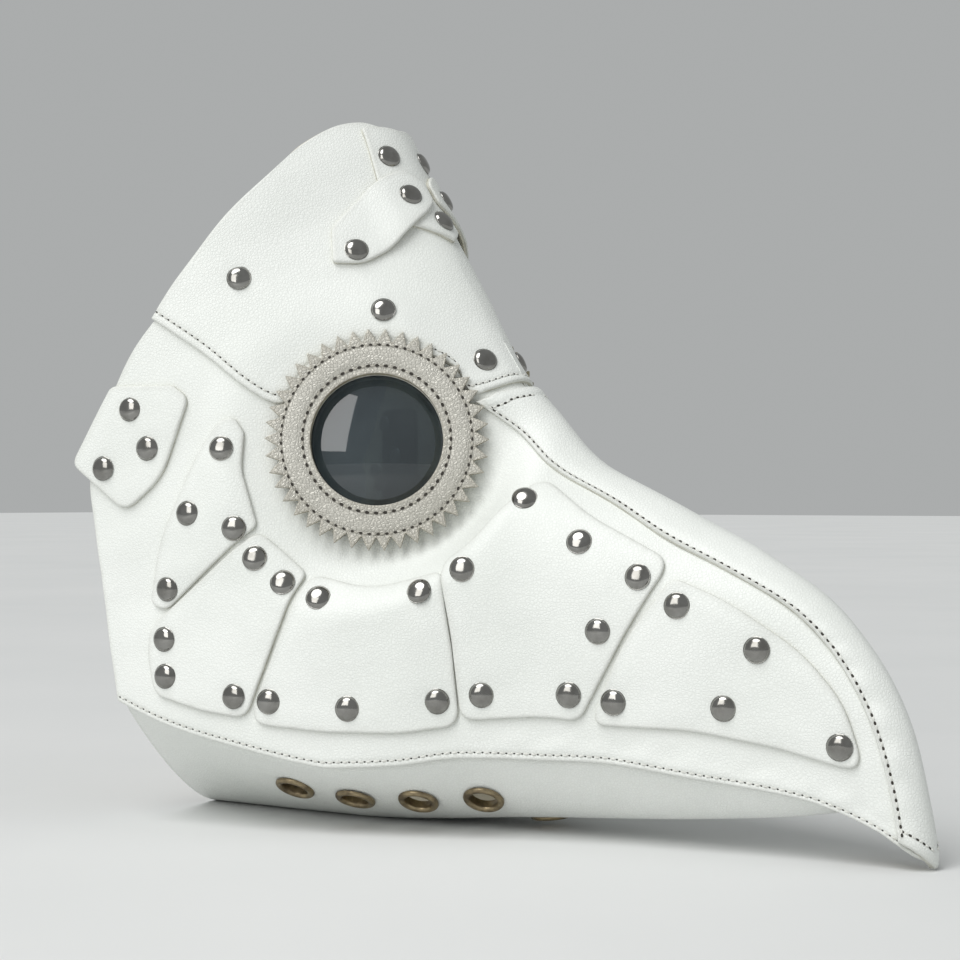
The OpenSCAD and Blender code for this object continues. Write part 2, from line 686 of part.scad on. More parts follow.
module head_strap_long() {
  color(dark_leather) on_strap() difference() {
    ribbon(LONG_STRAP);
    for (u = HOLES) {
      p = along(LONG_STRAP, u);
      d = along(LONG_STRAP, u + 0.02) - along(LONG_STRAP, u - 0.02);
      translate([0, p[0], p[1]]) rotate([atan2(d[1], d[0]), 0, 0]) cylinder(h = 10, d = 3, center = true);
    }
  }
}
BUCKLE_Z = 92;                       // height of the buckle's hinge bar
BUCKLE_Y = wire_d / 2 + strap_t + 1; // its distance from the panel
LOOP_BORE = wire_d / 2 + 0.08;
PRONG_D = 2.2;
PRONG_EYE = wire_d / 2 + 1.5;
module head_strap_short() {
  loop = LOOP_BORE + strap_t;
  color(dark_leather) on_left() on_strap() difference() {
    rotate([90, 0, 90]) linear_extrude(strap_w, center = true) difference() {
      union() {
        translate([0.8, BUCKLE_Z]) square([strap_t, 149 - BUCKLE_Z]);
        translate([BUCKLE_Y, BUCKLE_Z]) circle(r = loop);
        translate([0.8, BUCKLE_Z]) square([2 * strap_t, 18]);
      }
      translate([BUCKLE_Y, BUCKLE_Z]) circle(r = LOOP_BORE);
    }
    // slot for the prong
    translate([-2.4, -1, BUCKLE_Z - 8]) cube([4.8, 12, 14.5]);
  }
}
module strap_keeper() {
  wall = 1.2;
  low = 0.75;
  high = 0.8 + 2 * strap_t + 1;
  color(dark_leather) on_left() on_strap() translate([0, 0, BUCKLE_Z + 22]) difference() {
    translate([-strap_w / 2 - 0.3 - wall, low - 0.4, 0])
      cube([strap_w + 0.6 + 2 * wall, high - low + 0.4 + wall, 7]);
    translate([-strap_w / 2 - 0.3, low, -1]) cube([strap_w + 0.6, high - low, 9]);
  }
}
FRAME_DROP = 22;
module bar(from, to, d) {
  v = to - from;
  translate(from) rotate([0, acos(v[2] / norm(v)), atan2(v[1], v[0])]) cylinder(h = norm(v), d = d);
}
module buckle_frame() {
  x = strap_w / 2 + wire_d / 2 + 0.5;
  low = -FRAME_DROP;
  color(nickel) on_left() on_strap() translate([0, BUCKLE_Y, BUCKLE_Z]) union() {
    bar([-x, 0, 0], [x, 0, 0], wire_d);
    bar([-x, 0, low], [x, 0, low], wire_d);
    for (s = [-x, x]) {
      bar([s, 0, 0], [s, 0, low], wire_d);
      for (z = [0, low]) translate([s, 0, z]) sphere(d = wire_d);
    }
  }
}
module buckle_prong() {
  rest = wire_d / 2 + PRONG_D / 2 + 0.1;
  end = -FRAME_DROP - wire_d / 2 - 0.6;
  color(nickel) on_left() on_strap() translate([0, BUCKLE_Y, BUCKLE_Z]) difference() {
    union() {
      rotate([0, 90, 0]) cylinder(h = 3.6, r = PRONG_EYE, center = true);
      bar([0, rest, -1], [0, rest, end], PRONG_D);
      translate([0, rest, end]) sphere(d = PRONG_D);
    }
    rotate([0, 90, 0]) cylinder(h = 8, r = wire_d / 2 + 0.06, center = true);
  }
}

side_panel_right();
side_panel_left();
under_gusset();
forehead_panel();
forehead_facing();
beak_top_strip();
forehead_shield();
forehead_strap_right();
forehead_strap_left();
cheek_plate_rear_right();
cheek_plate_rear_left();
jaw_plate_rear_right();
jaw_plate_rear_left();
jaw_plate_middle_right();
jaw_plate_middle_left();
beak_plate_rear_right();
beak_plate_rear_left();
beak_plate_front_right();
beak_plate_front_left();
temple_tab_right();
temple_tab_left();
gear_ring_right();
gear_ring_left();
eye_lens_right();
eye_lens_left();
lens_retainer_right();
lens_retainer_left();
plate_rivets_right();
plate_rivets_left();
forehead_rivets();
temple_rivets();
vent_eyelets();
head_strap_long();
head_strap_short();
strap_keeper();
buckle_frame();
buckle_prong();
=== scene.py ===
"""Plague doctor mask in white riveted leather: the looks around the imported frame.

Sizes are in millimetres up to add(), which writes metres in the row's frame:
+X forward along the beak, +Y to the wearer's left, +Z up.
"""

import math

import bpy
import numpy as np
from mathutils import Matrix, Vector
from mathutils.geometry import delaunay_2d_cdt


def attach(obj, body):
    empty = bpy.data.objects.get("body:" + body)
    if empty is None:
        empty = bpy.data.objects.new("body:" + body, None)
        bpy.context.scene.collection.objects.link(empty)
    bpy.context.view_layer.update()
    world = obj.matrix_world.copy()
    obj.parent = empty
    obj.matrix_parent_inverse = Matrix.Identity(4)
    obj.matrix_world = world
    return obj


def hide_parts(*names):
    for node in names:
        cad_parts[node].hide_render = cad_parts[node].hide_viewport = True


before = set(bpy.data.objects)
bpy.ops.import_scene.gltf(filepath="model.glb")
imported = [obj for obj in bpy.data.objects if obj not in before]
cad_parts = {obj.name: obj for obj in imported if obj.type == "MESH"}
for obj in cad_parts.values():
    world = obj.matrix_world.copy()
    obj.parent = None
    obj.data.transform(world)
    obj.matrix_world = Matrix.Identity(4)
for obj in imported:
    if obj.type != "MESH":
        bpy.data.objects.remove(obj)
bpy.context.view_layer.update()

# ---- dimensions and curves of the part ----

PANEL_T = 1.6
PLATE_T = 1.6
EYE_D = 45.0
GEAR_D = 76.0
TOOTH_H = 4.8
GEAR_TEETH = 42
LENS_RISE = 3.4
RIVET_D = 8.6
RIVET_H = 2.0
EYELET_D = 14.0
EYELET_HOLE = 9.2
STRAP_W = 20.0
STRAP_T = 2.0
WIRE_D = 3.0
GAP = 0.15
LAYER_2 = GAP
LAYER_3 = LAYER_2 + PLATE_T + GAP
LAYER_4 = LAYER_3 + PLATE_T + GAP

RIDGE = [
    [141, -2], [140, 12], [136.5, 29.5], [130.5, 47], [121.5, 62.5], [110, 76], [93, 88],
    [71, 99.5], [44, 112.5], [24, 122], [7.5, 137.5], [-7, 152], [-19.5, 171],
    [-37, 199.5], [-52, 221.5], [-64.2, 243.6],
]
HUB = (-225.0, 60.0)
HALF_WIDTH = [
    [-145, 81], [-115, 77], [-85, 72], [-55, 64], [-27, 53], [-5, 42.5], [15, 34], [35, 28],
    [60, 22.5], [85, 16.5], [115, 11], [145, 7],
]
RIDGE_R = [[-10, 4], [8, 5], [14, 7], [20, 9], [30, 12.5], [40, 15.5], [48, 18]]
SPREAD = [[-10, 0.7], [0, 0.65], [8, 0.7], [14, 0.9], [20, 1], [30, 1], [40, 1.1], [48, 1.2]]
EYE = (-41.7, 131.9)
EYE_Y = 37
EYE_SLOPE = (-0.7, -0.12)
FLAT_R = (36.0, 60.0)
SEAM = [
    [-124, 42], [-103, 34.5], [-77, 28.5], [-50, 23.2], [-40, 22.9], [-22, 24.2], [-5, 27],
    [20, 27.2], [44, 27], [73, 23.5], [101, 20], [115, 16.5], [127, 11.5], [132, 8.5], [137, 5],
    [140.7, 2.5],
]
KEEL = [[-136, 0], [-60, 0], [-35, 1.2], [0, 4.2], [55, 8], [95, 12], [113, 15]]
REAR = [
    [-124, 42], [-126.5, 55], [-129.7, 71], [-132.2, 87], [-135.5, 105], [-137, 118],
    [-134, 134], [-127, 150.5], [-119.5, 164], [-110, 176],
]
PANEL_TOP = [[-19.2, 170], [-40, 169], [-62, 169], [-86, 171], [-110, 176]]
BROW = [
    [-7, 152], [-15.6, 147.7], [-22, 156.4], [-34, 162.7], [-49.5, 162.8], [-62.6, 154.4],
    [-70.5, 144.2], [-94, 161.7], [-112.5, 174.2],
]
CROWN = [[-64.2, 243.6], [-66.4, 245.2], [-69.8, 246], [-74.2, 243.5], [-78.5, 237], [-80.6, 232]]
TEMPLE = [[-112.5, 174.2], [-106, 185.3], [-99, 196.5], [-91, 211.3], [-84.6, 223], [-80.6, 232]]
STRIP_HALF = [[-10, 7], [0, 8.2], [3, 9.6], [5.5, 12], [8, 13.3], [11, 12.2], [14, 12.5], [20.5, 17.5]]
PLATES = {
    "cheek_plate_rear": [
        [-82.1, 139.9, 5], [-78.7, 134.5, 4], [-78.7, 121.9, 20], [-72.5, 102.5, 3.5],
        [-104, 73.6, 5], [-110.5, 76, 6], [-107, 97, 60], [-95.4, 125.5, 60], [-86.3, 138.5, 6],
    ],
    "jaw_plate_rear": [
        [-71.9, 100.9, 4], [-55.8, 86.3, 4], [-61.2, 69, 80], [-72.4, 38.4, 6], [-88, 40.2, 60],
        [-107.5, 45, 7], [-110.8, 58, 40], [-110, 67.5, 8],
    ],
    "jaw_plate_middle": [
        [-54.4, 86.3, 4], [-35.8, 81, 50], [-12.6, 87.2, 4], [-10.3, 86.4, 2], [-6.4, 64, 80],
        [-3.8, 38, 6], [-22, 35, 60], [-45, 34.8, 60], [-71.4, 36.8, 7], [-66.2, 52, 60],
        [-58.3, 73, 60],
    ],
    "beak_plate_rear": [
        [12, 118.9, 6], [34, 105, 100], [62, 91.8, 6], [48.5, 68.3, 80], [34, 40.5, 6],
        [22, 41.6, 60], [-3.4, 39.6, 5], [-6.8, 69, 80], [-11.5, 91, 4], [-1.8, 98.2, 30],
    ],
    "beak_plate_front": [
        [63.5, 87, 4], [81, 79.8, 100], [104, 65, 60], [117.5, 50, 40], [124.6, 28.4, 5],
        [97, 35, 100], [70, 39.2, 100], [37.5, 39.5, 4], [48.2, 66.2, 80],
    ],
    "temple_tab": [
        [-127.5, 151.2, 4], [-142.8, 124.2, 4], [-121.3, 107.2, 7], [-107.5, 119, 25],
        [-98, 146.5, 5], [-104, 151, 4],
    ],
}
FOREHEAD_STRAP = [
    [-33.5, 50.5, 5], [-36.9, 37.2, 2], [-29.7, 31.8, 8], [-21.6, 32.6, 14], [-5.5, 42, 12], [-1, 46, 6],
    [-1.2, 55.5, 6], [-7, 61, 7], [-17.8, 59.6, 16],
]
PLATE_RIVETS = [
    [-85, 129], [-96.2, 107], [-79.1, 102], [-103.5, 81.2],
    [-71.7, 91.8], [-62, 83.6], [-103.8, 64], [-103, 51.5], [-76.8, 45.7],
    [-49.6, 78.4], [-16.6, 81], [-64.2, 44.4], [-38, 42.8], [-10.6, 45.8],
    [10.8, 111.4], [-3.8, 88.8], [31.9, 97.6], [52.4, 86.9], [40.2, 69.6], [3, 48.2],
    [30.7, 49], [65.5, 78.2], [90.8, 65.1], [45.4, 47.2], [80.6, 46.7], [116.7, 36.3],
]
TEMPLE_RIVETS = [[-119.8, 143], [-113, 129.4], [-130, 122.6]]
BROW_RIVETS = [[-85.4, 187.5], [-43.3, 176.1], [-16.5, 159]]
STRAP_RIVETS = [[-8.4, 50.1], [-29.9, 37.9]]
SHIELD_RIVETS = [[-8.8, 67.5], [8.8, 67.5], [0, 38.5]]
VENTS = [[0.565, 0.0]] + [
    [0.509 - 0.0895 * k, s * (0.62 + 0.03 * k)] for k in range(4) for s in (-1, 1)
]


# ---- curves ----

def smooth(table, x):
    """Smooth curve through the points of a table, straight past both its ends."""
    t = np.asarray(table, float)
    xs, ys = t[:, 0], t[:, 1]
    m = np.empty(len(xs))
    m[1:-1] = (ys[2:] - ys[:-2]) / (xs[2:] - xs[:-2])
    m[0] = (ys[1] - ys[0]) / (xs[1] - xs[0])
    m[-1] = (ys[-1] - ys[-2]) / (xs[-1] - xs[-2])
    x = np.asarray(x, float)
    i = np.clip(np.searchsorted(xs, x, "right") - 1, 0, len(xs) - 2)
    h = xs[i + 1] - xs[i]
    u = (x - xs[i]) / h
    inside = (
        (1 + 2 * u) * (1 - u) ** 2 * ys[i] + u * (1 - u) ** 2 * h * m[i]
        + u * u * (3 - 2 * u) * ys[i + 1] + u * u * (u - 1) * h * m[i + 1]
    )
    before = ys[0] + (x - xs[0]) * m[0]
    after = ys[-1] + (x - xs[-1]) * m[-1]
    return np.where(x <= xs[0], before, np.where(x >= xs[-1], after, inside))


def along(points, u):
    """Points at fractions u, 0 to 1, along a smooth curve through a list of points."""
    p = np.asarray(points, float)
    p = np.vstack([2 * p[0] - p[1], p, 2 * p[-1] - p[-2]])
    n = len(points) - 1
    u = np.asarray(u, float)
    i = np.minimum(np.floor(u * n).astype(int), n - 1)
    f = (u * n - i)[..., None]
    p0, p1, p2, p3 = p[i], p[i + 1], p[i + 2], p[i + 3]
    return (
        2 * p1 + (p2 - p0) * f + (2 * p0 - 5 * p1 + 4 * p2 - p3) * f**2
        + (3 * p1 - p0 - 3 * p2 + p3) * f**3
    ) / 2


def ease(u):
    c = np.clip(u, 0, 1)
    return c * c * (3 - 2 * c)


def bell(d, width):
    return np.exp(-((d / width) ** 2))


def wander(x, y, size, seed=0.0):
    """Gentle pseudo-random field between about -1 and 1, with lumps of a size in mm."""
    total = 0
    for k in range(5):
        a = 2.4 * k + seed
        w = 2 * math.pi / (size * (0.75 + 0.17 * k))
        total = total + np.sin(w * (x * math.cos(a) + y * math.sin(a)) + 1.7 * k + 3.1 * seed)
    return total / 3.2


# ---- the side surface, as part.scad shapes it ----

def angle_at(x, z):
    return np.degrees(np.arctan2(z - HUB[1], x - HUB[0]))


REACH = [[float(angle_at(*p)), math.dist(p, HUB)] for p in RIDGE]


def behind_ridge(x, z):
    return smooth(REACH, angle_at(x, z)) - np.hypot(x - HUB[0], z - HUB[1])


def free_width(x, z):
    t = np.maximum(behind_ridge(x, z), 1e-9)
    a = angle_at(x, z)
    spread = np.sqrt(2 * smooth(RIDGE_R, a) * t + (smooth(SPREAD, a) * t) ** 2)
    return (spread**-4.0 + smooth(HALF_WIDTH, x) ** -4.0) ** -0.25


def half_width(x, z):
    free = free_width(x, z)
    flat = 1 - ease((np.hypot((x - EYE[0]) * 1.1, z - EYE[1]) - FLAT_R[0]) / (FLAT_R[1] - FLAT_R[0]))
    plane = EYE_Y + EYE_SLOPE[0] * (x - EYE[0]) + EYE_SLOPE[1] * (z - EYE[1])
    return free + (np.minimum(plane, free + 6 * ease((free - 8) / 25)) - free) * flat


def unit(v):
    return v / np.linalg.norm(v, axis=-1, keepdims=True)


def width_squared(x, z):
    """Square of the half width, which runs on smoothly past the ridge."""
    t = behind_ridge(x, z)
    return np.where(t <= 0, 2 * smooth(RIDGE_R, angle_at(x, z)) * t, half_width(x, z) ** 2)


def outward(x, z, step=0.4):
    a = width_squared(x - step, z) - width_squared(x + step, z)
    b = width_squared(x, z - step) - width_squared(x, z + step)
    return unit(np.stack([a, -4 * step * half_width(x, z), b], -1))


def side_point(p, lift):
    """Points on the right side from side-view points [x, z], raised above the surface."""
    p = np.asarray(p, float)
    x, z = p[..., 0], p[..., 1]
    lift = np.asarray(lift, float)[..., None]
    return np.stack([x, -half_width(x, z), z], -1) + lift * outward(x, z)


RISE_PER_DEGREE = 4.15
RISE_FROM = 30


def side_view(a, y):
    """Side-view point of the surface at an angle about HUB and a distance across."""
    a, y = np.broadcast_arrays(np.asarray(a, float), np.maximum(np.abs(np.asarray(y, float)), 0.01))
    t = np.zeros_like(a)
    r, k = smooth(RIDGE_R, a), smooth(SPREAD, a)
    for _ in range(5):
        reach = smooth(REACH, a) - t
        x = HUB[0] + reach * np.cos(np.radians(a))
        z = HUB[1] + reach * np.sin(np.radians(a))
        free = np.maximum(y**-4.0 - smooth(HALF_WIDTH, x) ** -4.0, 1e-9) ** -0.25
        t = (np.sqrt(r * r + k * k * free * free) - r) / (k * k)
    return np.stack([x, z], -1)


MIRROR = np.array([1, -1, 1])


def mirrored(p, across):
    return np.where(np.asarray(across)[..., None] > 0, p * MIRROR, p)


def front_point(p, lift):
    """Points from front coordinates [across, height up the ridge]."""
    p = np.asarray(p, float)
    flat = side_view(RISE_FROM + p[..., 1] / RISE_PER_DEGREE, p[..., 0])
    return mirrored(side_point(flat, lift), p[..., 0])


def region(bottom, top, ridge, rear, a, b):
    """Grid points of a four-sided region between its four edge curves."""
    a, b = np.asarray(a)[:, None, None], np.asarray(b)[None, :, None]
    low, high = along(bottom, b[0, :, 0])[None], along(top, b[0, :, 0])[None]
    front, back = along(ridge, a[:, 0, 0])[:, None], along(rear, a[:, 0, 0])[:, None]
    bottom, top, rear = np.asarray(bottom, float), np.asarray(top, float), np.asarray(rear, float)
    return (
        (1 - a) * low + a * high + (1 - b) * front + b * back
        - (1 - a) * (1 - b) * bottom[0] - (1 - a) * b * rear[0]
        - a * (1 - b) * top[0] - a * b * top[-1]
    )


KEEL_FLAT = 0.25


def seam_inset(x):
    return free_width(x, smooth(SEAM[:12], x)) - PANEL_T - 2 * GAP


def gusset_base(a, b):
    """Outer surface of the underside, a along it from the rear and b across, -1 to 1."""
    x = -135.5 * (1 - a) + 112.5 * a + 11.5 * np.abs(b) * (1 - a)
    seam = smooth(SEAM[:12], x) + 0.5
    keel = np.maximum(0, smooth(KEEL, x))
    u = np.maximum(0, (np.abs(b) - KEEL_FLAT) / (1 - KEEL_FLAT))
    return np.stack([x, b * seam_inset(x), keel + (seam - keel) * u**1.5], -1)


def gusset_up(a, b):
    e = 0.02
    return unit(np.cross(
        gusset_base(a + e, b) - gusset_base(a - e, b), gusset_base(a, b + e) - gusset_base(a, b - e)
    ))


EYE_C = np.array([EYE[0], -EYE_Y, EYE[1]])
EYE_N = unit(np.array([-EYE_SLOPE[0], -1.0, -EYE_SLOPE[1]]))
EYE_U = unit(np.cross([0, 0, 1], EYE_N))
EYE_V = np.cross(EYE_N, EYE_U)


def eye_point(p, lift):
    """Points in the plane of the right eye, from [along, up] about its centre."""
    p = np.asarray(p, float)
    lift = np.asarray(lift, float)[..., None]
    return EYE_C + p[..., :1] * EYE_U + p[..., 1:2] * EYE_V + lift * EYE_N


# ---- materials ----

class Look:
    """A material, with short ways to add nodes to its tree."""

    def __init__(self, name):
        self.mat = bpy.data.materials.new(name)
        self.mat.use_nodes = True
        self.shader = self.mat.node_tree.nodes["Principled BSDF"]
        self.place = self.node("TexCoord")

    def node(self, kind, **values):
        n = self.mat.node_tree.nodes.new("ShaderNode" + kind)
        for key, value in values.items():
            if hasattr(n, key):
                setattr(n, key, value)
            else:
                n.inputs[key.replace("_", " ")].default_value = value
        return n

    def link(self, a, out, b, to):
        self.mat.node_tree.links.new(a.outputs[out], b.inputs[to])

    def noise(self, scale, detail=3.0, rough=0.55):
        n = self.node("TexNoise", Scale=scale, Detail=detail, Roughness=rough)
        self.link(self.place, "Object", n, "Vector")
        return n

    def spread(self, source, out, **ends):
        n = self.node("MapRange", **ends)
        self.link(source, out, n, "Value")
        return n

    def ramp(self, source, out, low, high, to=None):
        """Colour ramp between two (position, colour) stops, joined to a shader input."""
        n = self.node("ValToRGB")
        for stop, (position, colour) in zip(n.color_ramp.elements, (low, high)):
            stop.position, stop.color = position, (*colour, 1)
        self.link(source, out, n, "Fac")
        if to:
            self.link(n, "Color", self.shader, to)
        return n

    def weighted(self, a, factor, b, out):
        """Factor times the value of a, plus b."""
        n = self.node("Math", operation="MULTIPLY_ADD")
        n.inputs[1].default_value = factor
        self.link(a, "Fac", n, 0)
        self.link(b, out, n, 2)
        return n

    def bump(self, source, out, strength, depth, under=None):
        n = self.node("Bump", Strength=strength, Distance=depth)
        self.link(source, out, n, "Height")
        if under:
            self.link(under, "Normal", n, "Normal")
        self.link(n, "Normal", self.shader, "Normal")
        return n

    def put(self, **values):
        for key, value in values.items():
            self.shader.inputs[key.replace("_", " ")].default_value = value
        return self.mat


def leather(name, colour, low, rough, grain, depth, metal=0.0, coat=0.0, wear_and_shade=(0.5, 0.5, 0.46)):
    """Pebbled coated leather: cells of grain with creases between, painted shade in the creases, soft
    blotches and greyer edges where the mesh's per-point mask says so: wear at the rims, painted shade along
    the stitch grooves."""
    look = Look(name)
    shift = look.node("VectorMath", operation="MULTIPLY_ADD")
    shift.inputs[1].default_value = (0.35 / grain,) * 3
    look.link(look.noise(grain * 0.5, 2.0), "Color", shift, 0)
    look.link(look.place, "Object", shift, 2)
    cells = look.node("TexVoronoi", feature="DISTANCE_TO_EDGE", Scale=grain)
    look.link(shift, "Vector", cells, "Vector")
    crease = look.spread(cells, "Distance", From_Max=0.22)
    height = look.weighted(look.noise(grain * 2.6), 0.45, crease, "Result")
    pebbles = look.bump(height, "Value", 0.75, depth)
    broad = look.noise(55.0, 4.0)
    look.bump(broad, "Fac", 0.5, 0.0006, pebbles)
    tone = look.ramp(look.noise(14.0), "Fac", (0.3, low), (0.62, colour))
    # painted shade: the colour darkens by up to 6% in the creases between the pebbles
    crease_shade = look.ramp(crease, "Result", (0.0, (0.94, 0.94, 0.935)), (0.7, (1, 1, 1)))
    shaded = look.node("Mix", data_type="RGBA", blend_type="MULTIPLY")
    shaded.inputs[0].default_value = 1.0
    look.link(tone, "Color", shaded, 6)
    look.link(crease_shade, "Color", shaded, 7)
    wear_and_shade_mask = look.node("Math", operation="MULTIPLY", use_clamp=True)
    look.link(look.node("Attribute", attribute_name="wear_and_shade"), "Fac", wear_and_shade_mask, 0)
    look.link(look.noise(260.0, 4.0, 0.7), "Fac", wear_and_shade_mask, 1)
    # the mesh's per-point mask tints the colour: wear at the rims, painted shade along the stitch grooves
    final = look.node("Mix", data_type="RGBA")
    final.inputs[7].default_value = (*wear_and_shade, 1)
    look.link(wear_and_shade_mask, "Value", final, 0)
    look.link(shaded, 2, final, 6)
    look.link(final, 2, look.shader, "Base Color")
    gloss = look.spread(broad, "Fac", To_Min=rough - 0.07, To_Max=rough + 0.09)
    look.link(gloss, "Result", look.shader, "Roughness")
    return look.put(Metallic=metal, Coat_Weight=coat, Coat_Roughness=0.38)


def fibrous(name, colour, low, scale, depth, sheen=0.0, rough=0.9):
    """Cloth, thread or the raw cut edge of leather: fine fibres and uneven colour."""
    look = Look(name)
    fibre = look.noise(scale, 5.0, 0.7)
    both = look.weighted(fibre, 0.5, look.noise(scale / 14), "Fac")
    look.ramp(both, "Value", (0.5, low), (0.95, colour), "Base Color")
    look.bump(fibre, "Fac", 0.8, depth)
    return look.put(Roughness=rough, Sheen_Weight=sheen)


def metal(name, colour, low, rough, spread, scratches=0.00001):
    """Plated metal: tarnish in soft patches, fine rubbing marks and uneven gloss."""
    look = Look(name)
    patches = look.noise(190.0, 4.0, 0.6)
    look.ramp(patches, "Fac", (0.34, low), (0.6, colour), "Base Color")
    ends = {"From_Min": 0.3, "From_Max": 0.75, "To_Min": rough + spread, "To_Max": rough}
    look.link(look.spread(patches, "Fac", **ends), "Result", look.shader, "Roughness")
    look.bump(look.noise(2600.0, 3.0, 0.7), "Fac", 0.4, scratches)
    return look.put(Metallic=1.0)


def lens_tint(name):
    """Dark smoked lens with a little dust on it."""
    look = Look(name)
    look.ramp(look.noise(900.0, 6.0, 0.8), "Fac", (0.62, (0.035,) * 3), (0.8, (0.3,) * 3), "Roughness")
    haze = look.noise(60.0)
    look.ramp(haze, "Fac", (0.3, (0.045, 0.063, 0.075)), (0.7, (0.065, 0.088, 0.1)), "Base Color")
    return look.put(Transmission_Weight=0.6, IOR=1.5, Coat_Weight=0.6, Coat_Roughness=0.03)


WHITE = leather("white_leather", (0.83, 0.85, 0.82), (0.77, 0.795, 0.76), 0.47, 950.0, 0.00009, coat=0.1)
SILVER = leather(
    "silver_leather", (0.6, 0.585, 0.53), (0.46, 0.445, 0.395), 0.4, 850.0, 0.00028, metal=0.2,
    wear_and_shade=(0.4, 0.37, 0.3),
)
DARK = leather(
    "strap_leather", (0.075, 0.062, 0.052), (0.05, 0.041, 0.035), 0.42, 1500.0, 0.00006,
    wear_and_shade=(0.16, 0.12, 0.09),
)
CLOTH = fibrous("cream_backing", (0.78, 0.74, 0.62), (0.6, 0.56, 0.45), 2200.0, 0.00025, sheen=0.25)
EDGE = fibrous("cut_edge", (0.66, 0.66, 0.6), (0.45, 0.44, 0.38), 1800.0, 0.0002)
KHAKI = fibrous("cut_edge_khaki", (0.42, 0.38, 0.27), (0.2, 0.17, 0.11), 1800.0, 0.0002)
DARK_EDGE = fibrous("strap_edge", (0.09, 0.065, 0.05), (0.04, 0.03, 0.024), 1800.0, 0.0001)
THREAD = fibrous("thread_white", (0.8, 0.8, 0.76), (0.6, 0.6, 0.56), 4200.0, 0.0001, sheen=0.2)
THREAD_GREY = fibrous("thread_grey", (0.6, 0.58, 0.52), (0.36, 0.34, 0.29), 4200.0, 0.0001)
THREAD_DARK = fibrous("thread_dark", (0.1, 0.09, 0.08), (0.05, 0.045, 0.04), 4200.0, 0.0001)
# painted shade: the dark inside of a needle hole, drawn as a disc on the surface
HOLE_SHADE = fibrous("needle_hole_shade", (0.05, 0.044, 0.036), (0.024, 0.021, 0.017), 3000.0, 0.00005)
NICKEL = metal("nickel", (0.31, 0.305, 0.29), (0.23, 0.225, 0.21), 0.07, 0.1)
BRASS = metal("antique_brass", (0.36, 0.29, 0.18), (0.15, 0.12, 0.08), 0.26, 0.22, 0.00003)
PLASTIC = fibrous("black_plastic", (0.045, 0.043, 0.042), (0.02, 0.02, 0.02), 1500.0, 0.00003, rough=0.5)
LENS = lens_tint("tinted_lens")


# ---- meshes ----

def show(name, data):
    obj = bpy.data.objects.new(name, data)
    bpy.context.scene.collection.objects.link(obj)
    return obj


def add(name, slot, slots, points, faces, index=None, wear_and_shade=None, nodes=None, body="mask", sharp=48):
    """Piece look_NAME from points in mm, with a material index for each face and a value for each point of
    wear at the rims and painted shade along the stitch grooves. It replaces its nodes, by default the one of
    its name."""
    mesh = bpy.data.meshes.new("look_" + name)
    mesh.from_pydata((np.asarray(points) / 1000).tolist(), [], [list(map(int, f)) for f in faces])
    for mat in slots:
        mesh.materials.append(mat)
    if index is not None:
        mesh.polygons.foreach_set("material_index", np.asarray(index, int))
    mesh.polygons.foreach_set("use_smooth", np.ones(len(faces), bool))
    # per-point mask of wear at the rims and painted shade along the stitch grooves
    attribute = mesh.attributes.new("wear_and_shade", "FLOAT", "POINT")
    if wear_and_shade is not None:
        attribute.data.foreach_set("value", np.asarray(wear_and_shade, float))
    mesh.set_sharp_from_angle(angle=math.radians(sharp))
    mesh.validate()
    obj = show("look_" + name, mesh)
    nodes = [name] if nodes is None else nodes
    if nodes:
        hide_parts(*nodes)
    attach(obj, body)


BOTH = ("right", "left")


def add_sides(name, slot, slots, points, faces, *rest, sides=BOTH, **more):
    """Piece on the right, and its mirror image on the left."""
    for side in sides:
        if side == "left":
            points, faces = points * MIRROR, [f[::-1] for f in faces]
        add(f"{name}_{side}", slot, slots, points, faces, *rest, **more)


def thicken(top, bottom, faces, wear_and_shade_mask):
    """Closed shell from a sheet's faces: its top, its underside and a wall round each edge.
    Returns points, faces, an index of 0 for top, 1 for wall and 2 for underside, and the per-point values of
    wear and of painted shade along stitch grooves."""
    n = len(top)
    edges = dict.fromkeys((u, v) for f in faces for u, v in zip(f, f[1:] + f[:1]))
    wall = [(v, u, n + u, n + v) for u, v in edges if (v, u) not in edges]
    under = [tuple(n + k for k in f[::-1]) for f in faces]
    index = [0] * len(faces) + [1] * len(wall) + [2] * len(faces)
    used = np.zeros(2 * n, bool)
    corners = np.unique([k for f in faces for k in f])
    used[corners] = used[n + corners] = True
    where = np.cumsum(used) - 1
    all_faces = [tuple(int(where[k]) for k in f) for f in [*faces, *wall, *under]]
    wear_and_shade = np.concatenate([np.broadcast_to(np.ravel(wear_and_shade_mask), n), np.zeros(n)])
    return np.vstack([top, bottom])[used], all_faces, index, wear_and_shade[used]


def round_edge(d, r):
    """How far a surface drops towards its rounded edge, at distances d from it."""
    u = 1 - np.clip(d / r, 0, 1)
    return r * (1 - np.sqrt(np.maximum(0, 1 - u * u)))


def rounded(corners, steps=9):
    """Outline with a rounded corner at each [x, y, radius]."""
    out = []
    n = len(corners)
    for i, c in enumerate(corners):
        p = np.array(c[:2], float)
        to_q = np.array(corners[i - 1][:2], float) - p
        to_s = np.array(corners[(i + 1) % n][:2], float) - p
        lq, ls = np.linalg.norm(to_q), np.linalg.norm(to_s)
        u, v = to_q / lq, to_s / ls
        half = math.acos(max(-1, min(1, float(u @ v)))) / 2
        cut = min(c[2] / math.tan(half), 0.45 * lq, 0.45 * ls)
        for k in range(steps):
            f = k / (steps - 1)
            out.append(p + u * cut * (1 - f) ** 2 + v * cut * f * f)
    return np.array(out)


def travelled(p):
    """Distance covered up to each point of a path."""
    return np.concatenate([[0], np.cumsum(np.linalg.norm(np.diff(p, axis=0), axis=1))])


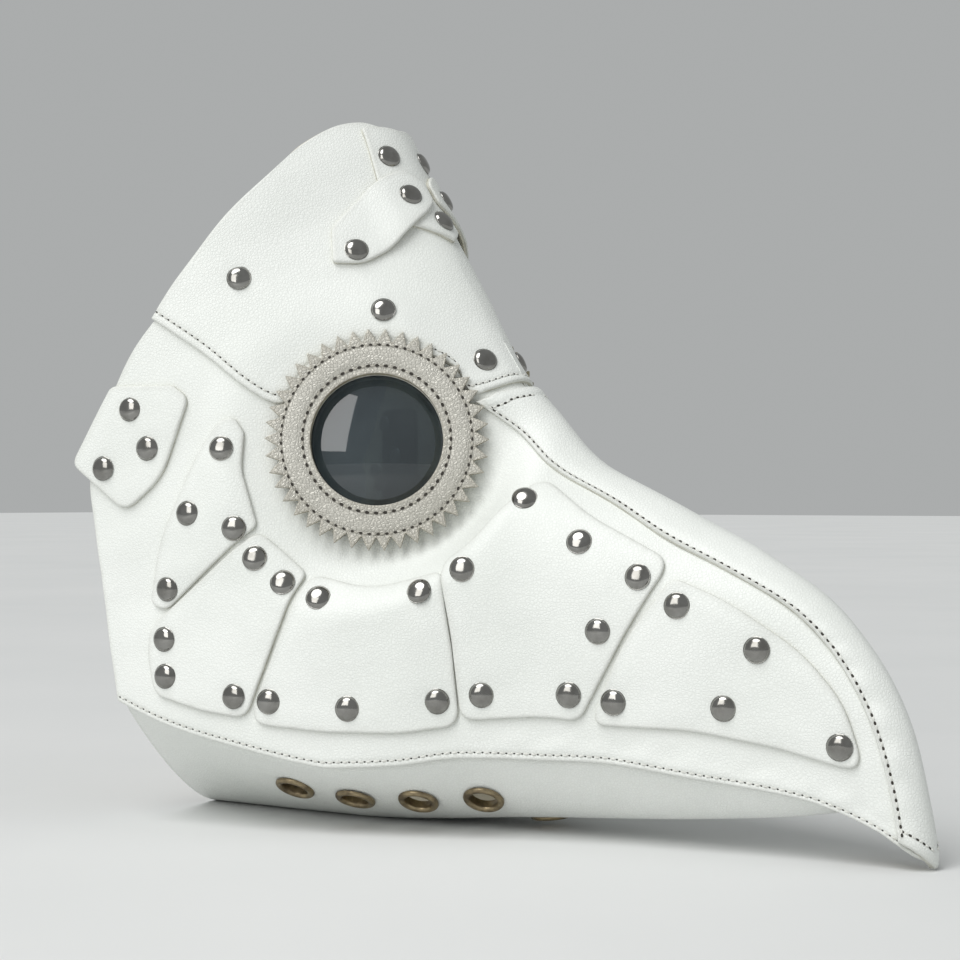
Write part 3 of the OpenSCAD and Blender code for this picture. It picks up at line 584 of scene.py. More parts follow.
def between(s, lengths, values):
    """Rows of values read off at distances s."""
    return np.stack([np.interp(s, lengths, values[:, k]) for k in range(values.shape[1])], -1)


def resample(points, step, closed=True):
    p = np.vstack([points, points[:1]]) if closed else np.asarray(points)
    lengths = travelled(p)
    count = max(3, round(lengths[-1] / step))
    out = between(np.linspace(0, lengths[-1], count + 1), lengths, p)
    return out[:-1] if closed else out


def circle(radius, count):
    turn = np.linspace(0, 2 * math.pi, count + 1)[:-1]
    return radius * np.stack([np.cos(turn), np.sin(turn)], -1)


def distance(points, loops):
    """Distance in the plane from each point to the nearest of several closed loops."""
    best = np.full(len(points), 1e9)
    for loop in loops:
        a, b = loop, np.roll(loop, -1, 0)
        ab = b - a
        for start in range(0, len(points), 2000):
            p = points[start : start + 2000, None]
            t = np.clip(((p - a) * ab).sum(-1) / np.maximum((ab * ab).sum(-1), 1e-12), 0, 1)
            d = np.linalg.norm(p - a - t[..., None] * ab, axis=-1).min(1)
            best[start : start + 2000] = np.minimum(best[start : start + 2000], d)
    return best


def inside(points, loop):
    x, y = points[:, 0, None], points[:, 1, None]
    a, b = loop, np.roll(loop, -1, 0)
    cross = (a[:, 1] > y) != (b[:, 1] > y)
    with np.errstate(divide="ignore", invalid="ignore"):
        at = (b[:, 0] - a[:, 0]) * (y - a[:, 1]) / (b[:, 1] - a[:, 1]) + a[:, 0]
    return (cross & (x < at)).sum(1) % 2 == 1


def inset(loop, d):
    t = unit(np.roll(loop, -1, 0) - np.roll(loop, 1, 0))
    area = 0.5 * np.sum(loop[:, 0] * np.roll(loop[:, 1], -1) - np.roll(loop[:, 0], -1) * loop[:, 1])
    side = np.stack([-t[:, 1], t[:, 0]], -1) * np.sign(area)
    return loop + side * d


CUT_ROWS = (0.1, 0.3, 0.65, 1.15)


def cut_piece(outline, place, low, high, step=1.7, holes=(), r=0.7, bands=(), relief=None, edge=0.9):
    """Piece cut from leather: an outline with a rounded rim, filled with even triangles.
    place(points, lift) puts it in space; relief(points, d) raises its top."""
    loops = [outline if edge is None else resample(outline, edge)]
    loops += [resample(h, 0.5 if edge is None else min(edge, 0.5)) for h in holes]
    rings = []
    for number, loop in enumerate(loops):
        for d in (*CUT_ROWS, *bands):
            ring = inset(loop, d if number == 0 else -d)
            gap = distance(ring, loops)
            rings.append(ring[gap > 0.8 * d])
    lo, hi = loops[0].min(0), loops[0].max(0)
    gx, gy = np.meshgrid(np.arange(lo[0], hi[0], step), np.arange(lo[1], hi[1], step * 0.866))
    gx = gx + (np.arange(len(gx)) % 2)[:, None] * step / 2
    grid = np.stack([gx.ravel(), gy.ravel()], -1)
    grid = grid[inside(grid, loops[0])]
    grid = grid[distance(grid, loops) > 1.6]
    free = np.vstack([*rings, grid])
    for h in loops[1:]:
        free = free[~inside(free, h)]
    points = np.vstack([*loops, free[inside(free, loops[0])]])
    edges, start = [], 0
    for loop in loops:
        n = len(loop)
        edges += [(start + k, start + (k + 1) % n) for k in range(n)]
        start += n
    coords, _, faces, *_ = delaunay_2d_cdt([Vector(p) for p in points], edges, [], 1, 1e-5)
    flat = np.array([(c[0], c[1]) for c in coords])
    faces = np.array(faces)
    for h in loops[1:]:
        faces = faces[~inside(flat[faces].mean(1), h)]
    faces = faces.tolist()
    d = distance(flat, loops)
    lift = high - round_edge(d, r)
    if relief is not None:
        lift = lift + relief(flat, d)
    top = place(flat, lift)
    bottom = place(flat, low + round_edge(d, 0.3))
    u = top[faces[0][1]] - top[faces[0][0]]
    v = top[faces[0][2]] - top[faces[0][0]]
    up = place(flat[faces[0][:1]], np.array([high + 1.0])) - place(flat[faces[0][:1]], np.array([high]))
    if np.dot(np.cross(u, v), up[0]) < 0:
        faces = [f[::-1] for f in faces]
    return thicken(top, bottom, faces, 0.75 * bell(d, 1.1))


def grid_shell(top, bottom, wear_and_shade_mask=0.0, holes=()):
    """Closed shell from two grids of points. Each hole is (centre, axis, radius)."""
    m, n = top.shape[:2]
    t, b = top.reshape(-1, 3).copy(), bottom.reshape(-1, 3).copy()
    start = (np.arange(m - 1)[:, None] * n + np.arange(n - 1)).reshape(-1, 1)
    corners = start + [0, 1, n + 1, n]
    for centre, axis, radius in holes:
        away = t[corners].mean(1) - centre
        flat = away - (away @ axis)[:, None] * axis
        near = (np.linalg.norm(flat, axis=1) < radius) & (np.abs(away @ axis) < 8)
        rim = np.intersect1d(corners[near], corners[~near])
        for pts in (t, b):
            v = pts[rim] - centre
            h = (v @ axis)[:, None] * axis
            pts[rim] = centre + h + unit(v - h) * radius
        corners = corners[~near]
    return thicken(t, b, corners.tolist(), wear_and_shade_mask)


def edge_distance(grid):
    """Distance in mm from each point of a grid to each of its four edges."""
    out = []
    for axis in (0, 1):
        steps = np.linalg.norm(np.diff(grid, axis=axis), axis=-1)
        first = np.insert(np.cumsum(steps, axis), 0, 0, axis)
        out += [first, np.take(first, [-1], axis) - first]
    return out


def steps_with(count, length, start=(), end=()):
    """Fractions from 0 to 1, even except for extra rows at distances in mm from the ends."""
    first = [0, *(s / length for s in start)]
    last = [*(1 - s / length for s in reversed(end)), 1]
    return np.unique([*first, *np.linspace(first[-1], last[0], count + 1), *last])


# ---- stitching ----

def tube(path, u, v, radius, ring, closed=False):
    """Round tube along a path of points, with directions u and v across it at each point."""
    w = 2 * math.pi * np.arange(ring)[:, None] / ring
    across = np.cos(w) * u[:, None] + np.sin(w) * v[:, None]
    points = path[:, None] + np.broadcast_to(radius, len(path))[:, None, None] * across
    n = len(path)
    faces = []
    for j in range(n if closed else n - 1):
        low, high = j * ring, (j + 1) % n * ring
        faces += [(low + i, high + i, high + (i + 1) % ring, low + (i + 1) % ring) for i in range(ring)]
    if not closed:
        faces += [tuple(range(ring)), tuple((n - 1) * ring + i for i in reversed(range(ring)))]
    return points.reshape(-1, 3), faces


def stitches(
    name, slot, line, normal, pitch, thread=THREAD, width=0.42, skip=None, hole=0.5, share=0.64, sides=BOTH
):
    """Row of thread stitches and needle holes along a line of points on a surface; each needle hole is a dark
    disc of painted shade.
    Each stitch is a short cord that rises over the leather and dives in at both its ends."""
    lengths = travelled(line)

    def at(s, values):
        return between(s, lengths, values)

    points, faces, index = [], [], []
    u = np.linspace(0, 1, 7)
    ellipse = circle(hole, 8) * [1.25, 0.85]
    for k in range(int(lengths[-1] / pitch)):
        s0 = k * pitch
        if skip is not None and skip(at(s0 + pitch / 2, line)):
            continue
        s = s0 + pitch * ((1 - share) / 2 + share * u)
        centre, n = at(s, line), unit(at(s, normal))
        side = unit(np.cross(n, unit(np.gradient(centre, axis=0))))
        rise = width * (-0.35 + 0.95 * np.sin(np.pi * u) ** 0.6)
        lean = (u - 0.5) * 0.1 * math.sin(2.3 * k + 0.7)
        centre = centre + n * rise[:, None] + side * lean[:, None]
        fat = width * (0.45 + 0.2 * np.sin(np.pi * u) ** 0.5) * (1 + 0.08 * math.sin(5.1 * k))
        cord, around = tube(centre, side, 0.85 * n, fat, 7)
        faces += [tuple(len(points) + i for i in f) for f in around]
        index += [0] * len(around)
        points += list(cord)
        # needle hole: a near-black disc of painted shade just above the leather
        if hole:
            c, nn = at(s0, line), unit(at(s0, normal))
            t = unit(at(s0 + 0.3, line) - at(s0 - 0.3, line))
            base = len(points)
            points += list(c + 0.12 * nn + ellipse[:, :1] * t + ellipse[:, 1:] * np.cross(nn, t))
            points.append(c + 0.02 * nn)
            faces += [(base + i, base + (i + 1) % 8, base + 8) for i in range(8)]
            index += [1] * 8
    add_sides(name, slot, [thread, HOLE_SHADE], np.array(points), faces, index, nodes=(), sides=sides)


# ---- revolved pieces ----

def lathe(profile, segments, closed=False):
    """Revolved points and faces about Z from a profile [r, z] that goes from the axis out."""
    points, faces, rows = [], [], []
    for r, z in profile:
        ring = [(0, 0, z)] if r < 1e-6 else [(*p, z) for p in circle(r, segments)]
        rows.append(range(len(points), len(points) + len(ring)))
        points += ring
    for low, high in zip(rows, rows[1:] + rows[:1] * closed):
        for i in range(segments):
            j = (i + 1) % segments
            if len(low) == 1:
                faces.append((low[0], high[i], high[j]))
            elif len(high) == 1:
                faces.append((low[i], high[0], low[j]))
            else:
                faces.append((low[i], high[i], high[j], low[j]))
    return np.array(points, float), faces


def basis(normal):
    n = unit(np.asarray(normal, float))
    u = unit(np.cross([0.3, 0.2, 1.0] if abs(n[2]) < 0.9 else [1.0, 0, 0], n))
    return np.stack([u, np.cross(n, u), n])


def copies(points, faces, places):
    """Copies of a piece with its +Z along each (position, direction) of places."""
    groups = []
    for number, (pos, normal) in enumerate(places):
        tilt = 0.03 * np.sin(np.array([3.7, 5.3, 7.9]) * number + [0, 1, 2])
        groups.append((points @ basis(unit(normal) + tilt) + pos, faces))
    return joined(groups)


def arc(r0, z0, r1, z1, bulge, steps=5):
    """Profile points from [r0, z0] to [r1, z1], bowed to the right of the way by bulge."""
    dr, dz = r1 - r0, z1 - z0
    f = np.linspace(0, 1, steps + 1)
    w = 4 * f * (1 - f) * bulge / math.hypot(dr, dz)
    return list(zip(r0 + dr * f + w * dz, z0 + dz * f - w * dr))


def joined(groups):
    """Joins several (points, faces) into one."""
    points, faces, start = [], [], 0
    for p, f in groups:
        points.append(p)
        faces += [tuple(start + k for k in face) for face in f]
        start += len(p)
    return np.vstack(points), faces


# ---- relief shared by the layers ----

def swell(p):
    """Slow unevenness of the whole mask, the same for every layer at a side-view point."""
    x, z = p[..., 0], p[..., 1]
    clear = ease((np.hypot(x - EYE[0], z - EYE[1]) - 30) / 25)
    return clear * (0.28 * wander(x, z, 46, 0.4) + 0.12 * wander(x, z, 21, 1.9))


def side_layer(p, lift):
    return side_point(p, np.asarray(lift) + swell(np.asarray(p)))


# ---- body panels ----

PANEL_SLOTS = [WHITE, EDGE, CLOTH]


def grid_normals(grid):
    return unit(np.cross(np.gradient(grid, axis=1), np.gradient(grid, axis=0)))


def line_at(grid, dist, value):
    """Points and normals where a distance over a grid's rows first reaches a value."""
    line, ways = (
        np.array([between(value, dist[:, j], values[:, j]) for j in range(grid.shape[1])])
        for values in (grid, grid_normals(grid))
    )
    return line, unit(ways)


def rim_wear_and_seam_shade(rim, seam, width):
    """Wear along a rim, and painted shade in the stitch groove along a seam beside it."""
    return 0.7 * bell(rim, 1.2) + 0.35 * bell(seam, width)


def dents3(points, rivets, depth=0.3, width=5.2):
    """Leather pulled down round each rivet, by distance in space."""
    return -depth * sum(bell(np.linalg.norm(points - r, axis=-1), width) for r in rivets)


def near_gear(point):
    """Whether a point of the right side lies under the toothed ring."""
    away = point - EYE_C
    return np.linalg.norm(away - (away @ EYE_N) * EYE_N) < GEAR_D / 2 - 1.5


def with_mirror(points):
    return np.vstack([points, points * MIRROR])


BROW_AT = with_mirror(side_point(BROW_RIVETS, 0))
UPPER_AT = with_mirror(front_point(STRAP_RIVETS[:1], 0))
LOWER_AT = with_mirror(front_point(STRAP_RIVETS[1:], 0))
SHIELD_AT = front_point(SHIELD_RIVETS, 0)
# distance of the stitches from the edge, and from one stitch to the next
SEAM_STITCH, SEAM_PITCH = 2.1, 2.65
BROW_STITCH, BROW_PITCH = 3.0, 2.6
FACING_STITCH, FACING_PITCH = 2.9, 2.9
STRIP_STITCH, STRIP_PITCH = 1.6, 2.65
END_STITCH, END_PITCH = 4.5, 2.5


def side_panels():
    bottom = SEAM[::-1]
    ridge = [SEAM[-1], *RIDGE[1:12], [-19.2, 170]]
    a = steps_with(96, 112, start=(0.1, 0.3, 0.7, 1.2, 1.7, 2.1, 2.6, 3.4), end=(0.4, 1.2))
    b = steps_with(150, 170, end=(1.3, 0.7, 0.3, 0.1)) ** 1.3
    flat = region(bottom, PANEL_TOP, ridge, REAR, a, b)
    below, _, _, rear = edge_distance(side_point(flat, 0.0))
    x, z = flat[..., 0], flat[..., 1]
    crumple = 0.34 * wander(x, z, 12, 2.2) * bell(below - 6, 5) * ease((x + 30) / 60)
    groove = -0.25 * bell(below - SEAM_STITCH, 0.7) * ease((rear - 1) / 2)
    rim = np.minimum(below, rear)
    top = side_point(flat, swell(flat) + crumple + groove - round_edge(rim, 0.75))
    under = side_point(flat, swell(flat) - PANEL_T + round_edge(rim, 0.3))
    wear_and_shade_mask = rim_wear_and_seam_shade(rim, below - SEAM_STITCH, 1.0)
    off_middle = [0, GAP, 0]
    top, under = top[:, ::-1] - off_middle, under[:, ::-1] - off_middle
    wear_and_shade_mask, below = wear_and_shade_mask[:, ::-1], below[:, ::-1]
    shape = grid_shell(top, under, wear_and_shade_mask, [(EYE_C - off_middle, EYE_N, EYE_D / 2)])
    add_sides("side_panel", "white_leather", PANEL_SLOTS, *shape)
    line, ways = line_at(top, below, SEAM_STITCH)
    keep = (line[:, 0] > -123.2) & (line[:, 0] < 136)
    stitches("seam_stitches", "white_leather", line[keep], ways[keep], SEAM_PITCH, hole=0.3)


def under_gusset():
    a = steps_with(150, 248, start=(0.1, 0.3, 0.7, 1.4), end=(1.4, 0.7, 0.3))
    b = np.linspace(-1, 1, 111)
    b = np.sign(b) * np.abs(b) ** 0.92
    ga, gb = np.meshgrid(a, b, indexing="ij")
    base, up = gusset_base(ga, gb), gusset_up(ga, gb)
    rear, front, _, _ = edge_distance(base)
    rim = np.minimum(rear, front)
    ripple = 0.25 * wander(base[..., 0], base[..., 1], 30, 0.9) * ease((np.abs(gb) - 0.3) / 0.3)
    vents = [gusset_base(*v) for v in VENTS]
    ripple = ripple * np.min([ease((np.linalg.norm(base - v, axis=-1) - 7) / 6) for v in vents], axis=0)
    ripple = np.maximum(ripple, 0)
    # lip sewn against the inside of the side panels
    lip = np.zeros_like(base)
    lip[..., 2] = 2.6 * ease((np.abs(gb) - 0.955) / 0.045)
    outer = base + lip + up * (round_edge(rim, 0.75) + ripple)[..., None]
    inner = base + lip + up * (PANEL_T + ripple)[..., None]
    holes = [(v, -gusset_up(*at), EYELET_HOLE / 2 + 0.4) for v, at in zip(vents, VENTS)]
    wear_and_shade_mask = 0.6 * bell(rim, 1.5) + 0.4 * ease((0.3 - np.abs(gb)) / 0.2) * (base[..., 2] < 0.4)
    add("under_gusset", "white_leather", PANEL_SLOTS, *grid_shell(outer, inner, wear_and_shade_mask, holes))


def both_halves(fractions):
    """Fractions 0 to 1 from the ridge, doubled to run from -1 to 1 across both sides."""
    return np.concatenate([-fractions[::-1], fractions[1:]])


def forehead_panel():
    a = steps_with(62, 85, start=(0.1, 0.3, 0.7, 1.2, 1.9, 2.5, 3.0, 3.5, 4.2), end=(1.2, 0.7, 0.3, 0.1))
    b = steps_with(66, 90, end=(1.2, 0.7, 0.3, 0.1)) ** 1.4
    j = both_halves(b)
    flat = region(BROW, CROWN, RIDGE[11:16], TEMPLE, a, b)
    flat = np.concatenate([flat[:, ::-1], flat[:, 1:]], 1)
    base = mirrored(side_point(flat, 0.0), j[None])
    brow, crown, left, right = edge_distance(base)
    side = np.minimum(left, right)
    rim = np.minimum(np.minimum(brow, crown), side)
    rivets = np.vstack([BROW_AT, LOWER_AT, SHIELD_AT])
    groove = -0.28 * bell(brow - BROW_STITCH, 0.7)
    fold = 0.25 * wander(flat[..., 0], flat[..., 1] + 4 * np.sign(j)[None], 60, 1.3)
    shared = swell(flat) + fold * ease(side / 30) * ease(brow / 12)
    lift = LAYER_2 + PLATE_T + shared + dents3(base, rivets) + groove - round_edge(rim, 0.8)
    top = mirrored(side_point(flat, lift), j[None])
    under = mirrored(side_point(flat, LAYER_2 - 0.1 + shared), j[None])
    shape = grid_shell(top, under, rim_wear_and_seam_shade(rim, brow - BROW_STITCH, 1))
    add("forehead_panel", "white_leather", PANEL_SLOTS, *shape)
    line, ways = line_at(top, brow, BROW_STITCH)
    half = slice(2, len(j) // 2 + 1)
    stitches(
        "brow_stitches", "white_leather", line[half], ways[half], BROW_PITCH, hole=0.34, skip=near_gear
    )


FACING_T = 1.0


def forehead_facing():
    drops = np.concatenate([[0, 0.1, 0.3], np.linspace(0.7, 14, 13)])[::-1]
    u = np.linspace(-1, 1, 121)
    p = along(CROWN, np.abs(u))
    a = angle_at(p[:, 0], p[:, 1])[None] + (0.8 - drops[:, None]) / RISE_PER_DEGREE
    r = smooth(REACH, a) - np.maximum(0.01, behind_ridge(p[:, 0], p[:, 1]))[None]
    flat = np.stack([HUB[0] + r * np.cos(np.radians(a)), HUB[1] + r * np.sin(np.radians(a))], -1)
    wave = 0.12 * np.sin(u * 40)[None] * ease(drops / 14)[:, None]
    drop = round_edge(drops, 0.5)[:, None]
    outer = mirrored(side_point(flat, -GAP - drop), u[None])
    inner = mirrored(side_point(flat, -GAP - FACING_T + wave + drop * 0.6), u[None])
    add("forehead_facing", "cream_backing", [CLOTH, CLOTH, CLOTH], *grid_shell(outer, inner))
    row = int(np.argmin(np.abs(drops - FACING_STITCH)))
    ways = -grid_normals(inner)[row]
    # the stitches stop short of the ridge and of both ends
    for name, part in (("right", slice(3, 54)), ("left", slice(67, 118))):
        line = inner[row, part], ways[part]
        stitches("facing_stitches_" + name, "white_leather", *line, FACING_PITCH, sides=("right",))


def beak_top_strip():
    start, end = float(angle_at(140.5, 0.4)), float(angle_at(-1.5, 150.5))
    rows = (0.1, 0.3, 0.7, 1.2, 3.6, 4.0, 4.5, 5.0, 5.4)
    a = steps_with(190, 235, start=rows, end=rows[::-1])
    b = steps_with(16, 13, end=(2.6, 2.1, 1.6, 1.2, 0.7, 0.3, 0.1))
    j = both_halves(b)
    first = start + 1.1 * np.abs(j)[None]
    angle = first + (end - first) * a[:, None]
    flat = side_view(angle, smooth(STRIP_HALF, angle) * j[None])
    base = mirrored(side_point(flat, 0.0), j[None])
    tip, hem, left, right = edge_distance(base)
    side = np.minimum(left, right)
    rim = np.minimum(np.minimum(tip, hem), side)
    pull = np.sin(tip * 2 * math.pi / (9 + 3 * np.sin(tip / 31)))
    pull = pull * (0.5 + 0.5 * np.sin(tip / 17 + np.sign(j)[None]))
    pucker = 0.5 * pull * bell(side - 3.4, 2.6) * ease(tip / 12) * ease((150 - tip) / 60)
    groove = -0.26 * bell(side - STRIP_STITCH, 0.6) * ease(tip / 5)
    cross = -0.22 * (bell(tip - END_STITCH, 0.6) + bell(hem - END_STITCH, 0.6))
    crown = 0.55 * ease(side / 7) + 0.3 * wander(tip, 3 * j[None], 38, 0.2) * ease(side / 8)
    hem_fold = 0.5 * (bell(hem - 2, 2.6) + bell(tip - 2, 2.6))
    lift = LAYER_2 + PLATE_T + pucker + groove + cross + crown + hem_fold
    top = mirrored(side_point(flat, lift - round_edge(rim, 0.8)), j[None])
    under = mirrored(side_point(flat, LAYER_2 - 0.1), j[None])
    shape = grid_shell(top, under, rim_wear_and_seam_shade(rim, side - STRIP_STITCH, 0.9))
    add("beak_top_strip", "white_leather", PANEL_SLOTS, *shape)
    line, _ = line_at(top.transpose(1, 0, 2), left.T, STRIP_STITCH)
    normals = grid_normals(top)
    keep = (tip[:, 0] > 2) & (hem[:, 0] > 3)
    stitches("strip_stitches", "white_leather", line[keep], normals[keep, 4], STRIP_PITCH)
    half = slice(5, len(j) // 2 + 1)
    for name, dist in (("tip_stitches", tip), ("hem_stitches", hem)):
        row = int(np.argmin(np.abs(dist[:, len(j) // 2] - END_STITCH)))
        stitches(name, "white_leather", top[row, half], normals[row, half], END_PITCH)


# ---- pieces cut from leather and riveted on ----

def forehead_shield():
    u = np.linspace(-1, 1, 25)
    low = [[17.3 * k, 29.4 + 14 * abs(k)] for k in u]
    high = [[13.3 * k, 77.4 + 3.1 * abs(k)] for k in u[::-1]]

    def relief(p, d):
        return dents3(front_point(p, 0), np.vstack([UPPER_AT, SHIELD_AT]))

    outline = resample(np.array(low + high), 0.9)
    shape = cut_piece(outline, front_point, LAYER_3 - 0.2, LAYER_3 + PLATE_T, relief=relief, step=1.5)
    add("forehead_shield", "white_leather", PANEL_SLOTS, *shape)


def forehead_straps():
    def place(p, lift):
        climb = (LAYER_4 - LAYER_3) * ease((p[..., 0] + 24) / 10)
        return front_point(p, lift + climb)

    def relief(p, d):
        return dents3(front_point(p, 0), [UPPER_AT[0], LOWER_AT[0]]) + 0.15 * ease(d / 4)

    outline = rounded(FOREHEAD_STRAP)
    shape = cut_piece(outline, place, LAYER_3 - 0.15, LAYER_3 + PLATE_T, relief=relief, step=1.5)
    add_sides("forehead_strap", "white_leather", PANEL_SLOTS, *shape)


def plates():
    centres = side_point(PLATE_RIVETS + TEMPLE_RIVETS, 0)

    def relief(p, d):
        puff = 0.22 * ease(d / 6) + 0.16 * wander(p[:, 0], p[:, 1], 25, 4.1) * ease(d / 5)
        return dents3(side_point(p, 0), centres, 0.34) + puff

    for name, outline in PLATES.items():
        standing = name == "temple_tab"

        def place(p, lift):
            curl = 0.9 * ease((-p[..., 0] - 121) / 22) if standing else 0.0
            return side_layer(p, lift + curl)

        shape = cut_piece(rounded(outline), place, LAYER_2 - 0.12, LAYER_2 + PLATE_T, relief=relief)
        add_sides(name, "white_leather", PANEL_SLOTS, *shape)


# ---- eyes ----

GEAR_LIFT = LAYER_3 + 0.1
GEAR_T = 1.8
LENS_D = EYE_D + 5
LENS_T = 1.4
LENS_SEAT = -PANEL_T - 3 * GAP - LENS_T
RETAINER_D = LENS_D + 9
INNER_STITCH = 25.1
OUTER_STITCH = 32.3


def gear_bend(p):
    """How far the toothed leather lifts off: most below, and not at all at the top."""
    r = np.hypot(p[..., 0], p[..., 1])
    turn = np.arctan2(p[..., 1], p[..., 0])
    below = ease(0.5 - 0.75 * np.sin(turn + 0.25))
    ripple = 0.12 * np.sin(5 * turn + 0.4) + 0.08 * np.sin(11 * turn)
    return (0.9 * below - 0.45 * (1 - below) + ripple) * ease((r - 29) / 9)


def uneven(p):
    return 0.1 * wander(p[:, 0], p[:, 1], 9, 0.7)


def gear_rings():
    root, tip = GEAR_D / 2 - TOOTH_H, GEAR_D / 2
    step = 2 * math.pi / GEAR_TEETH
    outline = []
    for k in range(GEAR_TEETH):
        skew = 0.06 * math.sin(4.7 * k) * step
        for f in np.linspace(-0.5, 0.5, 13)[:-1]:
            r = tip + (root - tip) * (2 * abs(f))
            r = max(r, root + 0.28) if abs(abs(f) - 0.5) < 0.06 else r
            w = (k + f) * step + skew * (1 - 2 * abs(f))
            outline.append((r * math.cos(w), r * math.sin(w)))

    def relief(p, d):
        r = np.hypot(p[:, 0], p[:, 1])
        lane = -0.32 * (bell(r - INNER_STITCH, 0.75) + bell(r - OUTER_STITCH, 0.75))
        puff = 0.45 * ease((r - INNER_STITCH) / 2.5) * ease((OUTER_STITCH - r) / 2.5)
        return lane + puff + uneven(p)

    def place(p, lift):
        r = np.hypot(p[..., 0], p[..., 1])
        filled = (lift < GEAR_LIFT + 0.35) * 1.85 * ease((31.5 - r) / 1.2)
        return eye_point(p, lift + gear_bend(p) - filled)

    shape = cut_piece(
        np.array(outline), place, GEAR_LIFT, GEAR_LIFT + GEAR_T, holes=[circle(EYE_D / 2, 160)],
        step=0.95, r=0.35, relief=relief, edge=None,
    )
    add_sides("gear_ring", "silver_leather", [SILVER, KHAKI, KHAKI], *shape, sharp=38)
    for name, radius, count, bite in (("inner", INNER_STITCH, 52, 0.62), ("outer", OUTER_STITCH, 69, 0.52)):
        ring = circle(radius, 499)
        ring = np.vstack([ring, ring[:1]])
        line = eye_point(ring, GEAR_LIFT + GEAR_T - 0.08 + gear_bend(ring) + uneven(ring))
        ways = np.broadcast_to(EYE_N, line.shape)
        stitches(
            "gear_stitches_" + name, "silver_leather", line, ways, 0.9999 * 2 * math.pi * radius / count,
            thread=THREAD_GREY, width=0.4, hole=bite, share=0.5,
        )


def turned_to_eye(points, lift=0.0):
    return eye_point(points, points[:, 2] + lift)


def lenses():
    half = LENS_D / 2 - 3
    f = np.linspace(0, 1, 17)
    outer = [(half * k, LENS_T + LENS_RISE * (1 - k * k)) for k in f]
    inner = [((half - 1) * k, LENS_RISE * (1 - k * k)) for k in f[::-1]]
    profile = [*outer, (half + 0.3, LENS_T), (LENS_D / 2 - 0.2, LENS_T), (LENS_D / 2, LENS_T - 0.2),
               (LENS_D / 2, 0.2), (LENS_D / 2 - 0.2, 0), *inner]
    points, faces = lathe(profile, 96)
    add_sides("eye_lens", "tinted_lens", [LENS], turned_to_eye(points, LENS_SEAT), faces)
    front, back = -PANEL_T - GAP, LENS_SEAT - 1.6
    hole, seat, rim = EYE_D / 2 - 0.5, LENS_D / 2 + 0.2, RETAINER_D / 2
    profile = [
        (seat, front - 0.3), (seat + 0.3, front), (rim - 0.5, front), (rim, front - 0.5),
        *arc(rim, back + 0.9, rim - 0.9, back, -0.25, 5), *arc(hole + 0.8, back, hole, back + 0.6, -0.2, 4),
        (hole, LENS_SEAT - 0.2), (hole + 0.1, LENS_SEAT - 0.1), (seat, LENS_SEAT - 0.1),
    ]
    points, faces = lathe(profile, 96, closed=True)
    add_sides("lens_retainer", "black_plastic", [PLASTIC], turned_to_eye(points), faces, sharp=35)


# ---- rivets and eyelets ----

def rivet(grip):
    f = np.linspace(0, 1, 11) ** 0.8
    cap = [(4.02 * k, 0.42 + (RIVET_H - 0.42) * (1 - k**2.5) ** 0.62) for k in f]
    r = RIVET_D / 2
    profile = [
        *cap, (4.06, 0.36), (4.13, 0.37), (r - 0.04, 0.3), (r, 0.2), (r - 0.03, 0.06), (r - 0.25, 0),
        (1.5, 0), (1.5, -grip), (3.2, -grip), (3.42, -grip - 0.15), (3.42, -grip - 0.5),
        (3.1, -grip - 0.8), (1.2, -grip - 0.86), (0.8, -grip - 0.62), (0, -grip - 0.6),
    ]
    return lathe(profile, 30)


ON_PLATE = LAYER_2 + PLATE_T + GAP
STRAP_BACK = STRAP_T + 0.9


SUNK = 0.42  # how deep a cap is drawn into the leather


def seat(points, lift):
    """Where rivets sit on the side: their places and the ways they point."""
    p = np.asarray(points, float)
    return list(zip(side_point(p, lift + swell(p)), outward(p[:, 0], p[:, 1])))


def front_seat(points, lift):
    low, high = front_point(points, lift), front_point(points, lift + 1)
    return list(zip(low, unit(high - low)))


def both(seats):
    """Seats on the right, and their mirror images."""
    return seats + [(p * MIRROR, n * MIRROR) for p, n in seats]


def riveted(*groups):
    """Rivets in groups of (thickness that they hold, seats)."""
    return joined([copies(*rivet(grip - SUNK), seats) for grip, seats in groups])


def rivets():
    through = ON_PLATE + PANEL_T + GAP
    shield_top, strap_top = LAYER_3 + PLATE_T + GAP, LAYER_4 + PLATE_T + GAP
    plates = riveted((through, seat(PLATE_RIVETS, ON_PLATE - SUNK + 0.1)))
    add_sides("plate_rivets", "nickel", [NICKEL], *plates, sharp=35)
    lower = both(front_seat(STRAP_RIVETS[1:], shield_top - SUNK))
    forehead = riveted(
        (ON_PLATE, both(seat(BROW_RIVETS, ON_PLATE - SUNK))),
        (strap_top, both(front_seat(STRAP_RIVETS[:1], strap_top - SUNK))),
        (shield_top, lower + front_seat(SHIELD_RIVETS, shield_top - SUNK)),
    )
    add("forehead_rivets", "nickel", [NICKEL], *forehead, sharp=35)
    temples = riveted(
        (through + STRAP_BACK, both(seat(TEMPLE_RIVETS[:2], ON_PLATE - SUNK + 0.1))),
        (through, both(seat(TEMPLE_RIVETS[2:], ON_PLATE - SUNK + 0.5))),
    )
    add("temple_rivets", "nickel", [NICKEL], *temples, sharp=35)


